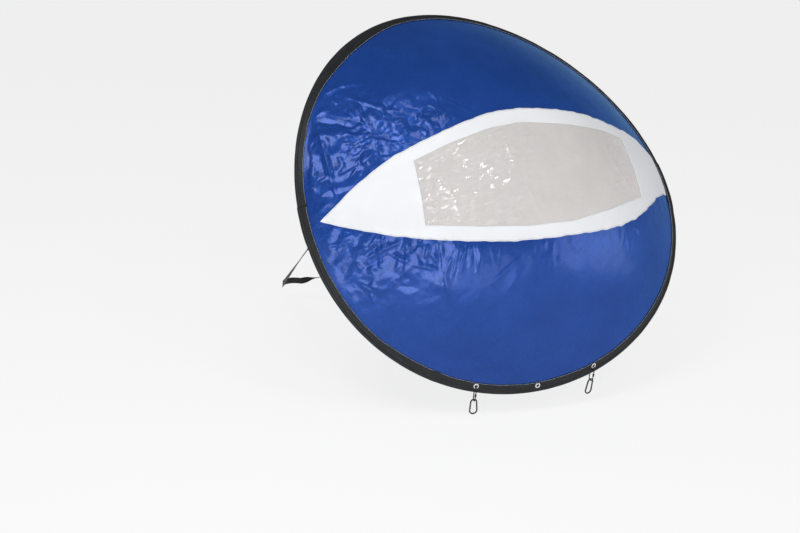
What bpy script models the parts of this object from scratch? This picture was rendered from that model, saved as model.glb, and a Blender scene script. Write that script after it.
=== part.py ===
"""Pop-up downwind sail for a canoe, kayak or raft, as separate solids.

Frame: origin at the foot of the hoop rod, on its centre line; +Z up, +X to the sail's right seen
from its front, +Y aft, the way the control tape is pulled. Lengths are in metres, angles in degrees.
"""
import math

import bmesh
import bpy
from mathutils import Matrix, Vector

# Hoop and bowl
HOOP_WIDTH = 1.242
HOOP_HEIGHT = 1.160
BELLY_DEPTH = 0.262
HOOP_SADDLE = 0.0197
HOOP_TWIST = 0.0373
LEAN_DEG = 35.7

# Rod and ferrule
ROD_RADIUS = 0.0025
FERRULE_WALL = 0.0006
FERRULE_LENGTH = 0.060
FERRULE_AT_DEG = -120.0
ROD_END_GAP = 0.002

# Cloth, film and sleeve
CLOTH = 0.0010
FILM = 0.0008
SLEEVE_WALL = 0.0010
SLEEVE_DEPTH = 0.026
SLEEVE_ROOM = 0.0011
SEAM_GAP = 0.0006
SLACK = 0.0035

# Eyelets
EYELET_BORE = 0.0040
EYELET_WALL = 0.0007
EYELET_FLANGE = 0.0080
EYELET_ROLL = 0.0062
EYELET_PLATE = 0.0008
EYELET_ROLL_PLATE = 0.0006
EYELET_INSET = 0.0134
EYELET_CELL_DEG = 4.45
EYELET_CELLS_APART = 4

# Foot loops
LOOP_CORD_RADIUS = 0.0015
LOOP_LENGTH = 0.047
LOOP_APEX_DROP = 0.0009
KNOT_RADIUS = 0.0030
KNOT_LENGTH = 0.0080
KNOT_FROM_END = 0.0120

# Snap clips
CLIP_BAR = 0.00225
CLIP_TOP_ARC = 0.0085
CLIP_FOOT_ARC = 0.0105
CLIP_LENGTH = 0.050
CLIP_TONGUE = 0.0016
CLIP_SLOT = 0.0022
PIN_RADIUS = 0.0008
PIN_BELOW_SHOULDER = 0.0030
SHOULDER_BELOW_ARC = 0.0020
PRONG_RISE = 0.0018
TONGUE_DROP = 0.0020
GATE_SLOT_DROP = 0.0032
NOSE_TONGUE = 0.0030
NOSE_SHOULDER_DROP = 0.0245
SPRING_RADIUS = 0.00078
SPRING_WIRE = 0.0002
SPRING_PITCH = 0.0011
SPRING_TURNS = 6
BIGHT_GAP = 0.0005

# Side loops and control tape
SIDE_LOOP_AT_DEG = -9.8
SIDE_LOOP_WIDTH = 0.012
SIDE_LOOP_THICK = 0.0015
SIDE_LOOP_FLAT = 0.026
SIDE_LOOP_RAMP = 0.010
SIDE_LOOP_SEWN = 0.012
SIDE_LOOP_RISE = 0.0052
SIDE_LOOP_INSET = 0.0125
SIDE_LOOP_SEAT = 0.0003
TAPE_WIDTH = 0.020
TAPE_THICK = 0.0015
TAPE_TAIL = 0.045
TAPE_TAIL_JOIN = 0.026
BIGHT_CENTRE = (-0.2575, 1.0350, 0.0050)
BIGHT_RADIUS = 0.045
EDGE_ON_SHARES = (0.74, 0.0, 0.67)

# Fits
GAP = 0.0003
OVERRUN = 0.004

# Outline of the white panel and the window: across and up, as shares of the hoop's half width and
# half height from its middle
EYE_TOP_SHARES = (
    (-0.930, -0.092), (-0.790, 0.030), (-0.640, 0.122), (-0.480, 0.178), (-0.320, 0.230),
    (-0.150, 0.278), (0.020, 0.293), (0.200, 0.285), (0.400, 0.275), (0.600, 0.248),
    (0.780, 0.205), (0.880, 0.140), (0.957, 0.035), (0.990, 0.010),
)
EYE_FOOT_SHARES = (
    (-0.930, -0.092), (-0.850, -0.150), (-0.690, -0.230), (-0.540, -0.285), (-0.380, -0.325),
    (-0.180, -0.360), (0.020, -0.368), (0.210, -0.350), (0.410, -0.308), (0.600, -0.245),
    (0.770, -0.172), (0.900, -0.115), (0.957, -0.100), (0.990, -0.095),
)
WINDOW_TOP_SHARES = (
    (-0.545, 0.086), (-0.395, 0.135), (-0.181, 0.190), (-0.016, 0.210), (0.168, 0.200),
    (0.346, 0.192), (0.540, 0.185), (0.650, 0.160),
)
WINDOW_FOOT_SHARES = (
    (-0.545, -0.221), (-0.312, -0.271), (-0.082, -0.302), (0.143, -0.298), (0.381, -0.246),
    (0.650, -0.165),
)
TIP_SHARE = -0.930
WINDOW_LEFT_SHARE = -0.545
WINDOW_RIGHT_SHARE = 0.650
SIDE_SHARE = 0.985
TIP_HEIGHT_SHARE = -0.092
TIP_SETBACK_SHARE = 0.004

# Stations round the hoop from its right side: where a step starts, and how many steps it takes. The
# same ones, mirrored about the middle, serve the foot. Sleeve and cloth share them, so they run side
# by side.
STATION_STOPS_DEG = (5.5, 9.0, 90 - 9.5 * EYELET_CELL_DEG, 90 + 6.5 * EYELET_CELL_DEG, 124.4, 164.6, 171.0, 174.5)
STATION_COUNTS = (1, 8, 16, 1, 8, 2, 1)
SIDE_COUNT = 4
EYE_RIGHT_TOP_DEG = 0.6
LAP_TOP_DEG = 5.5
LAP_FOOT_DEG = -9.0
LAP_RAMP_STATIONS = 2

# Counts
TOP_ROW_COUNT = 11
FOOT_ROW_COUNT = 9
EYE_ROW_COUNT = 2
WINDOW_ROW_COUNT = 5
ROD_STEPS = 92
ARC_STEPS = 10
ROUND_STEPS = 24

RADIUS_X = HOOP_WIDTH / 2
RADIUS_Z = HOOP_HEIGHT / 2
LEAN = math.radians(LEAN_DEG)
CHANNEL = ROD_RADIUS + GAP + FERRULE_WALL + SLEEVE_ROOM
HEM_INSET = CHANNEL + SLEEVE_ROOM
BAND_SHARE = 1 - (HEM_INSET + SLEEVE_DEPTH) / RADIUS_X
LOOP_HALF_WIDTH = CHANNEL + SLEEVE_WALL + 2 * GAP + LOOP_CORD_RADIUS
EYELET_SPREAD_DEG = EYELET_CELLS_APART * EYELET_CELL_DEG
LIP_IN = CLOTH / 2 + GAP
LIP_OUT = LIP_IN + SLEEVE_WALL
LAP_GROW = SLEEVE_WALL + GAP
EYELET_HOLE = EYELET_BORE + EYELET_WALL + GAP

UP = Vector((0, 0, 1))


def clear_scene():
    """Remove every object of the scene."""
    for obj in list(bpy.data.objects):
        bpy.data.objects.remove(obj, do_unlink=True)


def make_material(name, colour, roughness, metallic=0.0):
    """Principled material in one colour."""
    material = bpy.data.materials.new(name)
    material.use_nodes = True
    shader = material.node_tree.nodes["Principled BSDF"]
    shader.inputs["Base Color"].default_value = (*colour, 1.0)
    shader.inputs["Roughness"].default_value = roughness
    shader.inputs["Metallic"].default_value = metallic
    return material


def add_object(name, mesh, collection, material=None):
    """Object of a mesh or a curve, in a collection."""
    obj = bpy.data.objects.new(name, mesh)
    collection.objects.link(obj)
    if material:
        mesh.materials.append(material)
    return obj


def mesh_from(bm, name):
    """Mesh of a bmesh, normals made to face out."""
    bmesh.ops.recalc_face_normals(bm, faces=bm.faces)
    mesh = bpy.data.meshes.new(name)
    bm.to_mesh(mesh)
    bm.free()
    return mesh


def round_shading(obj):
    """Smooth faces with sharp edges kept."""
    obj.data.shade_smooth()
    obj.data.set_sharp_from_angle(angle=math.radians(40))


def lean_back(point):
    """Turn a point of the upright hoop about the foot, top going aft."""
    return Matrix.Rotation(-LEAN, 3, "X") @ Vector(point)


def slack(across, up):
    """Soft waves of the cloth, nothing at the hoop."""
    inside = max(0.0, 1 - across * across - up * up)
    fan = math.sin(9 * across + 7 * up) * 0.6 + math.sin(5 * across - 11 * up) * 0.4
    return SLACK * math.sqrt(inside) * inside * fan


def sail_point(across, up, lift=0.0):
    """Point of the sail's middle surface, lifted towards its front by a length."""
    belly = -BELLY_DEPTH * (1 - across * across - up * up)
    saddle = -HOOP_SADDLE * (across * across - up * up + 1)
    twist = 2 * HOOP_TWIST * across * up
    place = Vector((RADIUS_X * across, belly + saddle + twist + slack(across, up), RADIUS_Z * (1 + up)))
    return lean_back(place) + sail_front(across, up) * lift


def sail_front(across, up):
    """Unit normal of the sail's surface, towards its front."""
    slope_x = 2 * (BELLY_DEPTH - HOOP_SADDLE) * across + 2 * HOOP_TWIST * up
    slope_z = 2 * (BELLY_DEPTH + HOOP_SADDLE) * up + 2 * HOOP_TWIST * across
    normal = Vector((slope_x * RADIUS_Z, -RADIUS_X * RADIUS_Z, slope_z * RADIUS_X))
    return lean_back(normal.normalized())


def rim_frame(angle_deg):
    """Rod centre, outward, along and front directions at an angle round the hoop."""
    angle = math.radians(angle_deg)
    across = math.cos(angle)
    up = math.sin(angle)
    tiny = math.radians(0.01)
    after = sail_point(math.cos(angle + tiny), math.sin(angle + tiny))
    before = sail_point(math.cos(angle - tiny), math.sin(angle - tiny))
    along = (after - before).normalized()
    front = sail_front(across, up)
    front = (front - along * front.dot(along)).normalized()
    return sail_point(across, up), along.cross(front), along, front


def radial_length(angle_deg):
    """Length of the cloth's own radius direction for one share, at the rod."""
    angle = math.radians(angle_deg)
    step = 0.001
    inner = sail_point((1 - step) * math.cos(angle), (1 - step) * math.sin(angle))
    return (sail_point(math.cos(angle), math.sin(angle)) - inner).length / step


def inset_point(angle_deg, inward, lift=0.0):
    """Point on the cloth a length inward from the rod, lifted towards the front."""
    angle = math.radians(angle_deg)
    share = 1 - inward / radial_length(angle_deg)
    return sail_point(share * math.cos(angle), share * math.sin(angle), lift)


def read_table(table, across):
    """Height of an outline at a place across, by straight runs between its points."""
    if across <= table[0][0]:
        return table[0][1]
    for (x0, z0), (x1, z1) in zip(table, table[1:]):
        if across <= x1:
            return z0 + (z1 - z0) * (across - x0) / (x1 - x0)
    return table[-1][1]


def rim_height(across):
    """Height of the cloth where it meets the sleeve, above the hoop's middle, as a share."""
    return math.sqrt(max(0.0, BAND_SHARE ** 2 - across * across))


def eye_top(across):
    """Upper edge of the white panel, and past its tip the seam of the blue ones."""
    return max(read_table(EYE_TOP_SHARES, across), TIP_HEIGHT_SHARE)


def eye_foot(across):
    """Lower edge of the white panel, and past its tip the seam of the blue ones."""
    return min(read_table(EYE_FOOT_SHARES, across), TIP_HEIGHT_SHARE)


def window_level(across, table, edge):
    """Edge of the window, carried on to the tip and the sleeve beside it."""
    height = read_table(table, across)
    low = eye_foot(across)
    high = eye_top(across)
    third = (high - low) / 3
    wanted = high - third if edge > 0 else low + third
    if across < WINDOW_LEFT_SHARE:
        blend = (WINDOW_LEFT_SHARE - across) / (WINDOW_LEFT_SHARE - TIP_SHARE)
        base = high - (eye_top(WINDOW_LEFT_SHARE) - height) * (high - low) / (
            eye_top(WINDOW_LEFT_SHARE) - eye_foot(WINDOW_LEFT_SHARE))
        if edge < 0:
            base = low + (height - eye_foot(WINDOW_LEFT_SHARE)) * (high - low) / (
                eye_top(WINDOW_LEFT_SHARE) - eye_foot(WINDOW_LEFT_SHARE))
        return base + (wanted - base) * min(1.0, blend)
    if across > WINDOW_RIGHT_SHARE:
        blend = (across - WINDOW_RIGHT_SHARE) / (SIDE_SHARE - WINDOW_RIGHT_SHARE)
        base = high - (eye_top(WINDOW_RIGHT_SHARE) - height) * (high - low) / (
            eye_top(WINDOW_RIGHT_SHARE) - eye_foot(WINDOW_RIGHT_SHARE))
        if edge < 0:
            base = low + (height - eye_foot(WINDOW_RIGHT_SHARE)) * (high - low) / (
                eye_top(WINDOW_RIGHT_SHARE) - eye_foot(WINDOW_RIGHT_SHARE))
        return base + (wanted - base) * min(1.0, blend)
    return height


def station_angles():
    """Stations over the top of the hoop, from its right side to its left, in degrees."""
    angles = [STATION_STOPS_DEG[0]]
    for start, end, count in zip(STATION_STOPS_DEG, STATION_STOPS_DEG[1:], STATION_COUNTS):
        angles += [start + (end - start) * i / count for i in range(1, count + 1)]
    return angles


def side_angles(middle):
    """Stations between the last ones over the top and their mirrored ones, at one side of the hoop."""
    half = STATION_STOPS_DEG[0]
    return [middle - half + 2 * half * i / SIDE_COUNT for i in range(1, SIDE_COUNT)]


def polar(share, angle_deg):
    """Place across and up of a share of the hoop's radius at an angle."""
    angle = math.radians(angle_deg)
    return share * math.cos(angle), share * math.sin(angle)


def hem_place(angle_deg):
    """Place across and up of the cloth's hem in the sleeve at an angle."""
    return polar(1 - HEM_INSET / radial_length(angle_deg), angle_deg)


def add_patch(bm, places):
    """Grid of the sail's surface through columns of places across and up."""
    before = set(bm.verts)
    bmesh.ops.create_grid(bm, x_segments=len(places) - 1, y_segments=len(places[0]) - 1, size=0.5)
    for vert in [v for v in bm.verts if v not in before]:
        column = round((vert.co.x + 0.5) * (len(places) - 1))
        row = round((vert.co.y + 0.5) * (len(places[0]) - 1))
        vert.co = sail_point(*places[column][row])


def column(across, low, high, rows):
    """Places up one column of the cloth, between two heights."""
    return [(across, low + (high - low) * i / rows) for i in range(rows + 1)]


def hem_column(start_deg, end_deg, rows):
    """Places along the hem, inside the sleeve, between two angles."""
    return [hem_place(start_deg + (end_deg - start_deg) * i / rows) for i in range(rows + 1)]


def sheet(name, bm, thickness, collection, material):
    """Cloth or film of one thickness about the sail's middle surface."""
    bmesh.ops.remove_doubles(bm, verts=bm.verts, dist=GAP / 3)
    bmesh.ops.dissolve_degenerate(bm, edges=bm.edges, dist=GAP / 3)
    mesh = bpy.data.meshes.new(name)
    bm.to_mesh(mesh)
    bm.free()
    obj = add_object(name, mesh, collection, material)
    obj.data.shade_smooth()
    wall = obj.modifiers.new("wall", "SOLIDIFY")
    wall.thickness = thickness
    wall.offset = 0
    wall.use_even_offset = True
    return obj


def build_upper_panel(angles, collection, material):
    """Blue panel over the top of the sail, its hem inside the sleeve."""
    half = SEAM_GAP / 2 / RADIUS_Z
    trim = math.degrees(half)
    places = []
    for angle in angles:
        across, top = polar(BAND_SHARE, angle)
        seam = max(eye_top(across) + half, 2 * half - top)
        places.append(column(across, seam, top, TOP_ROW_COUNT) + [hem_place(angle)])
    right = hem_column(EYE_RIGHT_TOP_DEG + trim, angles[0], TOP_ROW_COUNT)
    left = hem_column(360 - angles[-1] - 2 * trim, angles[-1], TOP_ROW_COUNT)
    places = [right + right[-1:]] + places + [left + left[-1:]]
    bm = bmesh.new()
    add_patch(bm, list(reversed(places)))
    return sheet("upper_panel", bm, CLOTH, collection, material)


def build_lower_panel(angles, collection, material):
    """Blue panel round the foot of the sail, its hem inside the sleeve."""
    half = SEAM_GAP / 2 / RADIUS_Z
    places = []
    for angle in angles:
        across, foot = polar(BAND_SHARE, -angle)
        seam = eye_foot(across) - half
        seam = foot if seam < foot + TIP_SETBACK_SHARE else seam
        places.append([hem_place(-angle)] + column(across, foot, seam, FOOT_ROW_COUNT))
    bm = bmesh.new()
    add_patch(bm, list(reversed(places)))
    return sheet("lower_panel", bm, CLOTH, collection, material)


def eye_column(across, inset):
    """Heights of the white panel's edges and of the window's, in one column."""
    top = eye_top(across) - inset
    foot = max(eye_foot(across) + inset, 2 * inset - rim_height(across))
    window_top = window_level(across, WINDOW_TOP_SHARES, 1) + inset
    window_foot = window_level(across, WINDOW_FOOT_SHARES, -1) - inset
    return foot, window_foot, window_top, top


def build_eye_panel(angles, collection, material):
    """White panel with the window's opening, its right end inside the sleeve."""
    half = SEAM_GAP / 2 / RADIUS_Z
    every = [BAND_SHARE * math.cos(math.radians(angle)) for angle in reversed(angles)]
    tip = min(across for across in every if across > TIP_SHARE)
    window_left = min(every, key=lambda across: abs(across - WINDOW_LEFT_SHARE))
    window_right = min(every, key=lambda across: abs(across - WINDOW_RIGHT_SHARE))
    inside = [tip + TIP_SETBACK_SHARE] + [across for across in every if across > tip]
    middle = [across for across in every if window_left <= across <= window_right]

    top_rows = []
    window_rows = []
    foot_rows = []
    for across in inside:
        foot, window_foot, window_top, top = eye_column(across, half)
        top_rows.append(column(across, window_top, top, EYE_ROW_COUNT))
        window_rows.append(column(across, window_foot, window_top, WINDOW_ROW_COUNT))
        foot_rows.append(column(across, foot, window_foot, EYE_ROW_COUNT))
    trim = math.degrees(half)
    rows = 2 * EYE_ROW_COUNT + WINDOW_ROW_COUNT
    hem = hem_column(2 * trim - STATION_STOPS_DEG[0], EYE_RIGHT_TOP_DEG - trim, rows)
    foot_rows.append(hem[:EYE_ROW_COUNT + 1])
    window_rows.append(hem[EYE_ROW_COUNT:EYE_ROW_COUNT + WINDOW_ROW_COUNT + 1])
    top_rows.append(hem[EYE_ROW_COUNT + WINDOW_ROW_COUNT:])

    bm = bmesh.new()
    add_patch(bm, top_rows)
    add_patch(bm, foot_rows)
    add_patch(bm, window_rows[:inside.index(window_left) + 1])
    add_patch(bm, window_rows[inside.index(window_right):])
    eye = sheet("eye_panel", bm, CLOTH, collection, material)
    return eye, middle


def build_window(middle, collection, material):
    """Clear window in the white panel."""
    half = SEAM_GAP / 2 / RADIUS_Z
    places = []
    for across in middle:
        foot, window_foot, window_top, top = eye_column(across, -half)
        places.append((across, window_foot, window_top))
    places[0] = (places[0][0] + 2 * half, *places[0][1:])
    places[-1] = (places[-1][0] - 2 * half, *places[-1][1:])
    bm = bmesh.new()
    add_patch(bm, [column(across, low, high, WINDOW_ROW_COUNT) for across, low, high in places])
    return sheet("window_film", bm, FILM, collection, material)


def loft(name, rings, closed, collection, material, smooth=True):
    """Solid through rings of points, closed on itself or capped at both ends."""
    bm = bmesh.new()
    rows = [[bm.verts.new(point) for point in ring] for ring in rings]
    pairs = list(zip(rows, rows[1:]))
    if closed:
        pairs.append((rows[-1], rows[0]))
    for near, far in pairs:
        for i in range(len(near)):
            j = (i + 1) % len(near)
            bm.faces.new((near[i], near[j], far[j], far[i]))
    if not closed:
        bm.faces.new(rows[0])
        bm.faces.new(list(reversed(rows[-1])))
    obj = add_object(name, mesh_from(bm, name), collection, material)
    if smooth:
        round_shading(obj)
    return obj


def sleeve_ring(angle_deg, grow):
    """Section of the sleeve: two lips on the cloth and a channel round the rod, seen along the hoop."""
    centre, outward, along, front = rim_frame(angle_deg)
    inner = CHANNEL + grow
    outer = inner + SLEEVE_WALL
    lip_in = LIP_IN + grow
    lip_out = LIP_OUT + grow
    ring = []

    def arc(radius, start, stop, steps):
        for i in range(steps + 1):
            turn = start + (stop - start) * i / steps
            ring.append(centre - outward * (radius * math.cos(turn)) + front * (radius * math.sin(turn)))

    start_out = math.asin(lip_out / outer)
    start_in = math.asin(lip_in / inner)
    for inward in (SLEEVE_DEPTH, SLEEVE_DEPTH * 0.6):
        ring.append(inset_point(angle_deg, inward, lip_out))
    arc(outer, start_out, 2 * math.pi - start_out, ARC_STEPS)
    for inward in (SLEEVE_DEPTH * 0.6, SLEEVE_DEPTH):
        ring.append(inset_point(angle_deg, inward, -lip_out))
    for inward in (SLEEVE_DEPTH, SLEEVE_DEPTH * 0.6):
        ring.append(inset_point(angle_deg, inward, -lip_in))
    arc(inner, 2 * math.pi - start_in, start_in, ARC_STEPS)
    for inward in (SLEEVE_DEPTH * 0.6, SLEEVE_DEPTH):
        ring.append(inset_point(angle_deg, inward, lip_in))
    return ring


def build_sleeve(angles, collection, finish):
    """Upper length of the sleeve, and the lower one, whose ends lap over it at both sides."""
    mirrored = [-angle for angle in reversed(angles)]
    right = [angle for angle in mirrored if angle >= LAP_FOOT_DEG] + side_angles(0)
    left = side_angles(180) + [360 + angle for angle in mirrored if 360 + angle <= 180 - LAP_FOOT_DEG]
    rings = [sleeve_ring(angle, 0) for angle in right + angles + left]
    upper = loft("sleeve_upper", rings, False, collection, finish)

    foot = [(angle, 0) for angle in mirrored]
    for i in range(LAP_RAMP_STATIONS + 2):
        grow = LAP_GROW if i < LAP_RAMP_STATIONS + 1 else LAP_GROW / 2
        foot[i] = (foot[i][0], grow)
        foot[-1 - i] = (foot[-1 - i][0], grow)
    start = [(angle - 360, LAP_GROW) for angle in side_angles(180) if angle >= 180]
    stop = [(angle, LAP_GROW) for angle in side_angles(0) + [LAP_TOP_DEG]]
    rings = [sleeve_ring(angle, grow) for angle, grow in start + foot + stop]
    lower = loft("sleeve_lower", rings, False, collection, finish)
    return upper, lower


def circle(centre, side, other, radius, count):
    """Ring of points about a centre."""
    turns = [2 * math.pi * i / count for i in range(count)]
    return [centre + side * (radius * math.cos(t)) + other * (radius * math.sin(t)) for t in turns]


def hoop_ring(angle_deg, radius, count):
    """Circle about the rod's centre line."""
    centre, outward, along, front = rim_frame(angle_deg)
    return circle(centre, outward, front, radius, count)


def build_rod(collection, finishes):
    """Springy rod bent to a ring, its ends held in a ferrule."""
    around = (RADIUS_X + RADIUS_Z) / 2
    end_deg = math.degrees(ROD_END_GAP / 2 / around)
    half_deg = math.degrees(FERRULE_LENGTH / 2 / around)
    span = 360 - 2 * half_deg
    offsets = [end_deg, half_deg / 2]
    offsets += [half_deg + span * i / ROD_STEPS for i in range(ROD_STEPS + 1)]
    offsets += [360 - half_deg / 2, 360 - end_deg]
    rings = [hoop_ring(FERRULE_AT_DEG + offset, ROD_RADIUS, 8) for offset in offsets]
    loft("hoop_rod", rings, False, collection, finishes["rod"])

    bore = ROD_RADIUS + GAP
    places = [FERRULE_AT_DEG + half_deg * share for share in (-1, -0.5, 0, 0.5, 1)]
    outer = [hoop_ring(angle, bore + FERRULE_WALL, 12) for angle in places]
    inner = [hoop_ring(angle, bore, 12) for angle in reversed(places)]
    loft("hoop_ferrule", outer + inner, True, collection, finishes["steel"])


def frame_matrix(origin, x_axis, y_axis, z_axis):
    """Matrix that carries local axes to world ones at an origin."""
    matrix = Matrix((x_axis, y_axis, z_axis)).transposed().to_4x4()
    matrix.translation = origin
    return matrix


def turned(name, profile, matrix, collection, material):
    """Turned solid: a closed profile of radius and height, screwed round local Z."""
    bm = bmesh.new()
    verts = [bm.verts.new((radius, 0, height)) for radius, height in profile]
    for near, far in zip(verts, verts[1:] + verts[:1]):
        bm.edges.new((near, far))
    mesh = bpy.data.meshes.new(name)
    bm.to_mesh(mesh)
    bm.free()
    obj = add_object(name, mesh, collection, material)
    screw = obj.modifiers.new("turn", "SCREW")
    screw.steps = ROUND_STEPS
    screw.render_steps = ROUND_STEPS
    screw.use_merge_vertices = True
    screw.merge_threshold = GAP / 10
    obj.matrix_world = matrix
    return obj


def cylinder(name, radius, length, matrix, collection, material=None, count=ROUND_STEPS):
    """Cylinder about local Z, centred on the matrix."""
    bm = bmesh.new()
    bmesh.ops.create_cone(bm, cap_ends=True, segments=count, radius1=radius, radius2=radius, depth=length)
    obj = add_object(name, mesh_from(bm, name), collection, material)
    obj.matrix_world = matrix
    return obj


def box(name, size, matrix, collection):
    """Box of three sides, centred on the matrix."""
    bm = bmesh.new()
    bmesh.ops.create_cube(bm, size=1.0)
    bmesh.ops.scale(bm, vec=Vector(size), verts=bm.verts)
    obj = add_object(name, mesh_from(bm, name), collection)
    obj.matrix_world = matrix
    return obj


def cut(obj, cutter):
    """Cut an object with a hidden cutter."""
    cutter.hide_render = True
    cutter.display_type = "WIRE"
    hole = obj.modifiers.new("cut " + cutter.name, "BOOLEAN")
    hole.operation = "DIFFERENCE"
    hole.object = cutter


def eyelet_frame(angle_deg):
    """Matrix of an eyelet on the flat stretch between two stations, local Z towards the front."""
    half = EYELET_CELL_DEG / 2
    before = inset_point(angle_deg - half, EYELET_INSET)
    after = inset_point(angle_deg + half, EYELET_INSET)
    inner = inset_point(angle_deg - half, SLEEVE_DEPTH) + inset_point(angle_deg + half, SLEEVE_DEPTH)
    middle = (before + after) / 2
    along = (after - before).normalized()
    inward = inner / 2 - middle
    inward = (inward - along * inward.dot(along)).normalized()
    return frame_matrix(middle, along, inward, along.cross(inward))


def eyelet_profile():
    """Eyelet: flange in front, barrel through the sleeve, roll behind the washer."""
    flange_foot = LIP_OUT + GAP
    flange_top = flange_foot + EYELET_PLATE
    barrel = EYELET_BORE + EYELET_WALL
    roll_top = -(LIP_OUT + GAP + EYELET_PLATE + GAP)
    roll_foot = roll_top - EYELET_ROLL_PLATE
    return (
        (EYELET_BORE, flange_top), (EYELET_FLANGE, flange_top), (EYELET_FLANGE, flange_foot),
        (barrel, flange_foot), (barrel, roll_top), (EYELET_ROLL, roll_top),
        (EYELET_ROLL, roll_foot), (EYELET_BORE, roll_foot),
    )


def build_eyelets(sleeve, cloth, collection, cutters, finish):
    """Three eyelets through the foot of the sleeve, each with its washer behind."""
    washer_top = -(LIP_OUT + GAP)
    washer_foot = washer_top - EYELET_PLATE
    washer = (
        (EYELET_HOLE, washer_top), (EYELET_FLANGE, washer_top),
        (EYELET_FLANGE, washer_foot), (EYELET_HOLE, washer_foot),
    )
    for name, offset in (("left", -EYELET_SPREAD_DEG), ("centre", 0), ("right", EYELET_SPREAD_DEG)):
        matrix = eyelet_frame(-90 + offset)
        turned("eyelet_" + name, eyelet_profile(), matrix, collection, finish)
        turned("eyelet_washer_" + name, washer, matrix, collection, finish)
        punch = cylinder("hole_" + name, EYELET_HOLE, 2 * LIP_OUT + 2 * OVERRUN, matrix, cutters)
        cut(sleeve, punch)
        cut(cloth, punch)


def loop_frame(angle_deg):
    """Where a foot loop hangs: eyelet middle, sideways, down and front directions."""
    matrix = eyelet_frame(angle_deg)
    front = matrix.to_3x3() @ UP
    down = (-UP + front * front.dot(UP)).normalized()
    return matrix.translation, front.cross(down), down, front


def loop_outline():
    """Stadium of a loop's centre line as front offset, drop and cord radius."""
    width = LOOP_HALF_WIDTH
    top = LOOP_APEX_DROP + width
    foot = LOOP_LENGTH - width
    points = []
    for i in range(9):
        turn = math.pi - math.pi * i / 8
        points.append((width * math.cos(turn), top - width * math.sin(turn), LOOP_CORD_RADIUS))
    knot_foot = foot - KNOT_FROM_END + KNOT_LENGTH / 2
    knot_top = knot_foot - KNOT_LENGTH
    ease = KNOT_LENGTH / 8
    for drop, radius in (
        (knot_top - ease, LOOP_CORD_RADIUS), (knot_top, KNOT_RADIUS * 0.9),
        (knot_top + KNOT_LENGTH / 2, KNOT_RADIUS), (knot_foot, KNOT_RADIUS * 0.9),
        (knot_foot + ease, LOOP_CORD_RADIUS),
    ):
        points.append((width, drop, radius))
    for i in range(9):
        turn = math.pi * i / 8
        points.append((width * math.cos(turn), foot + width * math.sin(turn), LOOP_CORD_RADIUS))
    points.append((-width, (top + foot) / 2, LOOP_CORD_RADIUS))
    return points


def build_foot_loop(side, angle_deg, collection, finish):
    """Knotted cord loop through an outer eyelet, round the foot of the sleeve."""
    middle, sideways, down, front = loop_frame(angle_deg)
    points = [(middle + front * f + down * d, radius) for f, d, radius in loop_outline()]
    rings = []
    for i, (point, radius) in enumerate(points):
        along = (points[(i + 1) % len(points)][0] - points[i - 1][0]).normalized()
        rings.append(circle(point, sideways, along.cross(sideways), radius, 8))
    loft("foot_loop_" + side, rings, True, collection, finish)


def clip_sizes():
    """Places of a clip's own parts, on its local axes: x towards the gate, z up from its top bar."""
    tilt = CLIP_FOOT_ARC - CLIP_TOP_ARC
    foot_z = -(CLIP_LENGTH - 2 * CLIP_BAR - CLIP_FOOT_ARC)
    gate_x = CLIP_TOP_ARC
    foot_x = gate_x - CLIP_FOOT_ARC
    lean = 2 * math.atan(tilt / (-CLIP_TOP_ARC - foot_z))
    shoulder = -CLIP_TOP_ARC - SHOULDER_BELOW_ARC
    pin = shoulder - PIN_BELOW_SHOULDER
    nose = shoulder - NOSE_SHOULDER_DROP + SHOULDER_BELOW_ARC
    return gate_x, foot_x, foot_z, lean, shoulder, pin, nose


def tube(name, points, radius, matrix, collection, material):
    """Round bar along local points, as a welded mesh."""
    curve = bpy.data.curves.new(name, "CURVE")
    curve.dimensions = "3D"
    curve.bevel_depth = radius
    curve.bevel_resolution = 2
    curve.use_fill_caps = True
    spline = curve.splines.new("POLY")
    spline.points.add(len(points) - 1)
    for target, point in zip(spline.points, points):
        target.co = (*point, 1)
    guide = add_object(name + "_line", curve, collection)
    graph = bpy.context.evaluated_depsgraph_get()
    mesh = bpy.data.meshes.new_from_object(guide.evaluated_get(graph))
    bpy.data.objects.remove(guide, do_unlink=True)
    bm = bmesh.new()
    bm.from_mesh(mesh)
    bmesh.ops.remove_doubles(bm, verts=bm.verts, dist=radius / 100)
    bmesh.ops.recalc_face_normals(bm, faces=bm.faces)
    bm.to_mesh(mesh)
    bm.free()
    mesh.name = name
    obj = add_object(name, mesh, collection, material)
    obj.matrix_world = matrix
    round_shading(obj)
    return obj


def clip_line():
    """Centre line of the clip's bar, from the gate's hinge round to the nose."""
    gate_x, foot_x, foot_z, lean, shoulder, pin, nose = clip_sizes()
    points = [(gate_x, 0, pin - TONGUE_DROP)]
    turns = [(math.pi - lean) * i / 10 for i in range(11)]
    points += [(CLIP_TOP_ARC * math.cos(t), 0, CLIP_TOP_ARC * (math.sin(t) - 1)) for t in turns]
    sweep = math.pi + lean
    turns = [math.pi - lean + sweep * i / 12 for i in range(13)]
    points += [(foot_x + CLIP_FOOT_ARC * math.cos(t), 0, foot_z + CLIP_FOOT_ARC * math.sin(t)) for t in turns]
    points.append((gate_x, 0, nose + NOSE_TONGUE))
    return points


def local(matrix, x, z):
    """Matrix moved to a place in the clip's own plane."""
    return matrix @ Matrix.Translation((x, 0, z))


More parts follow.
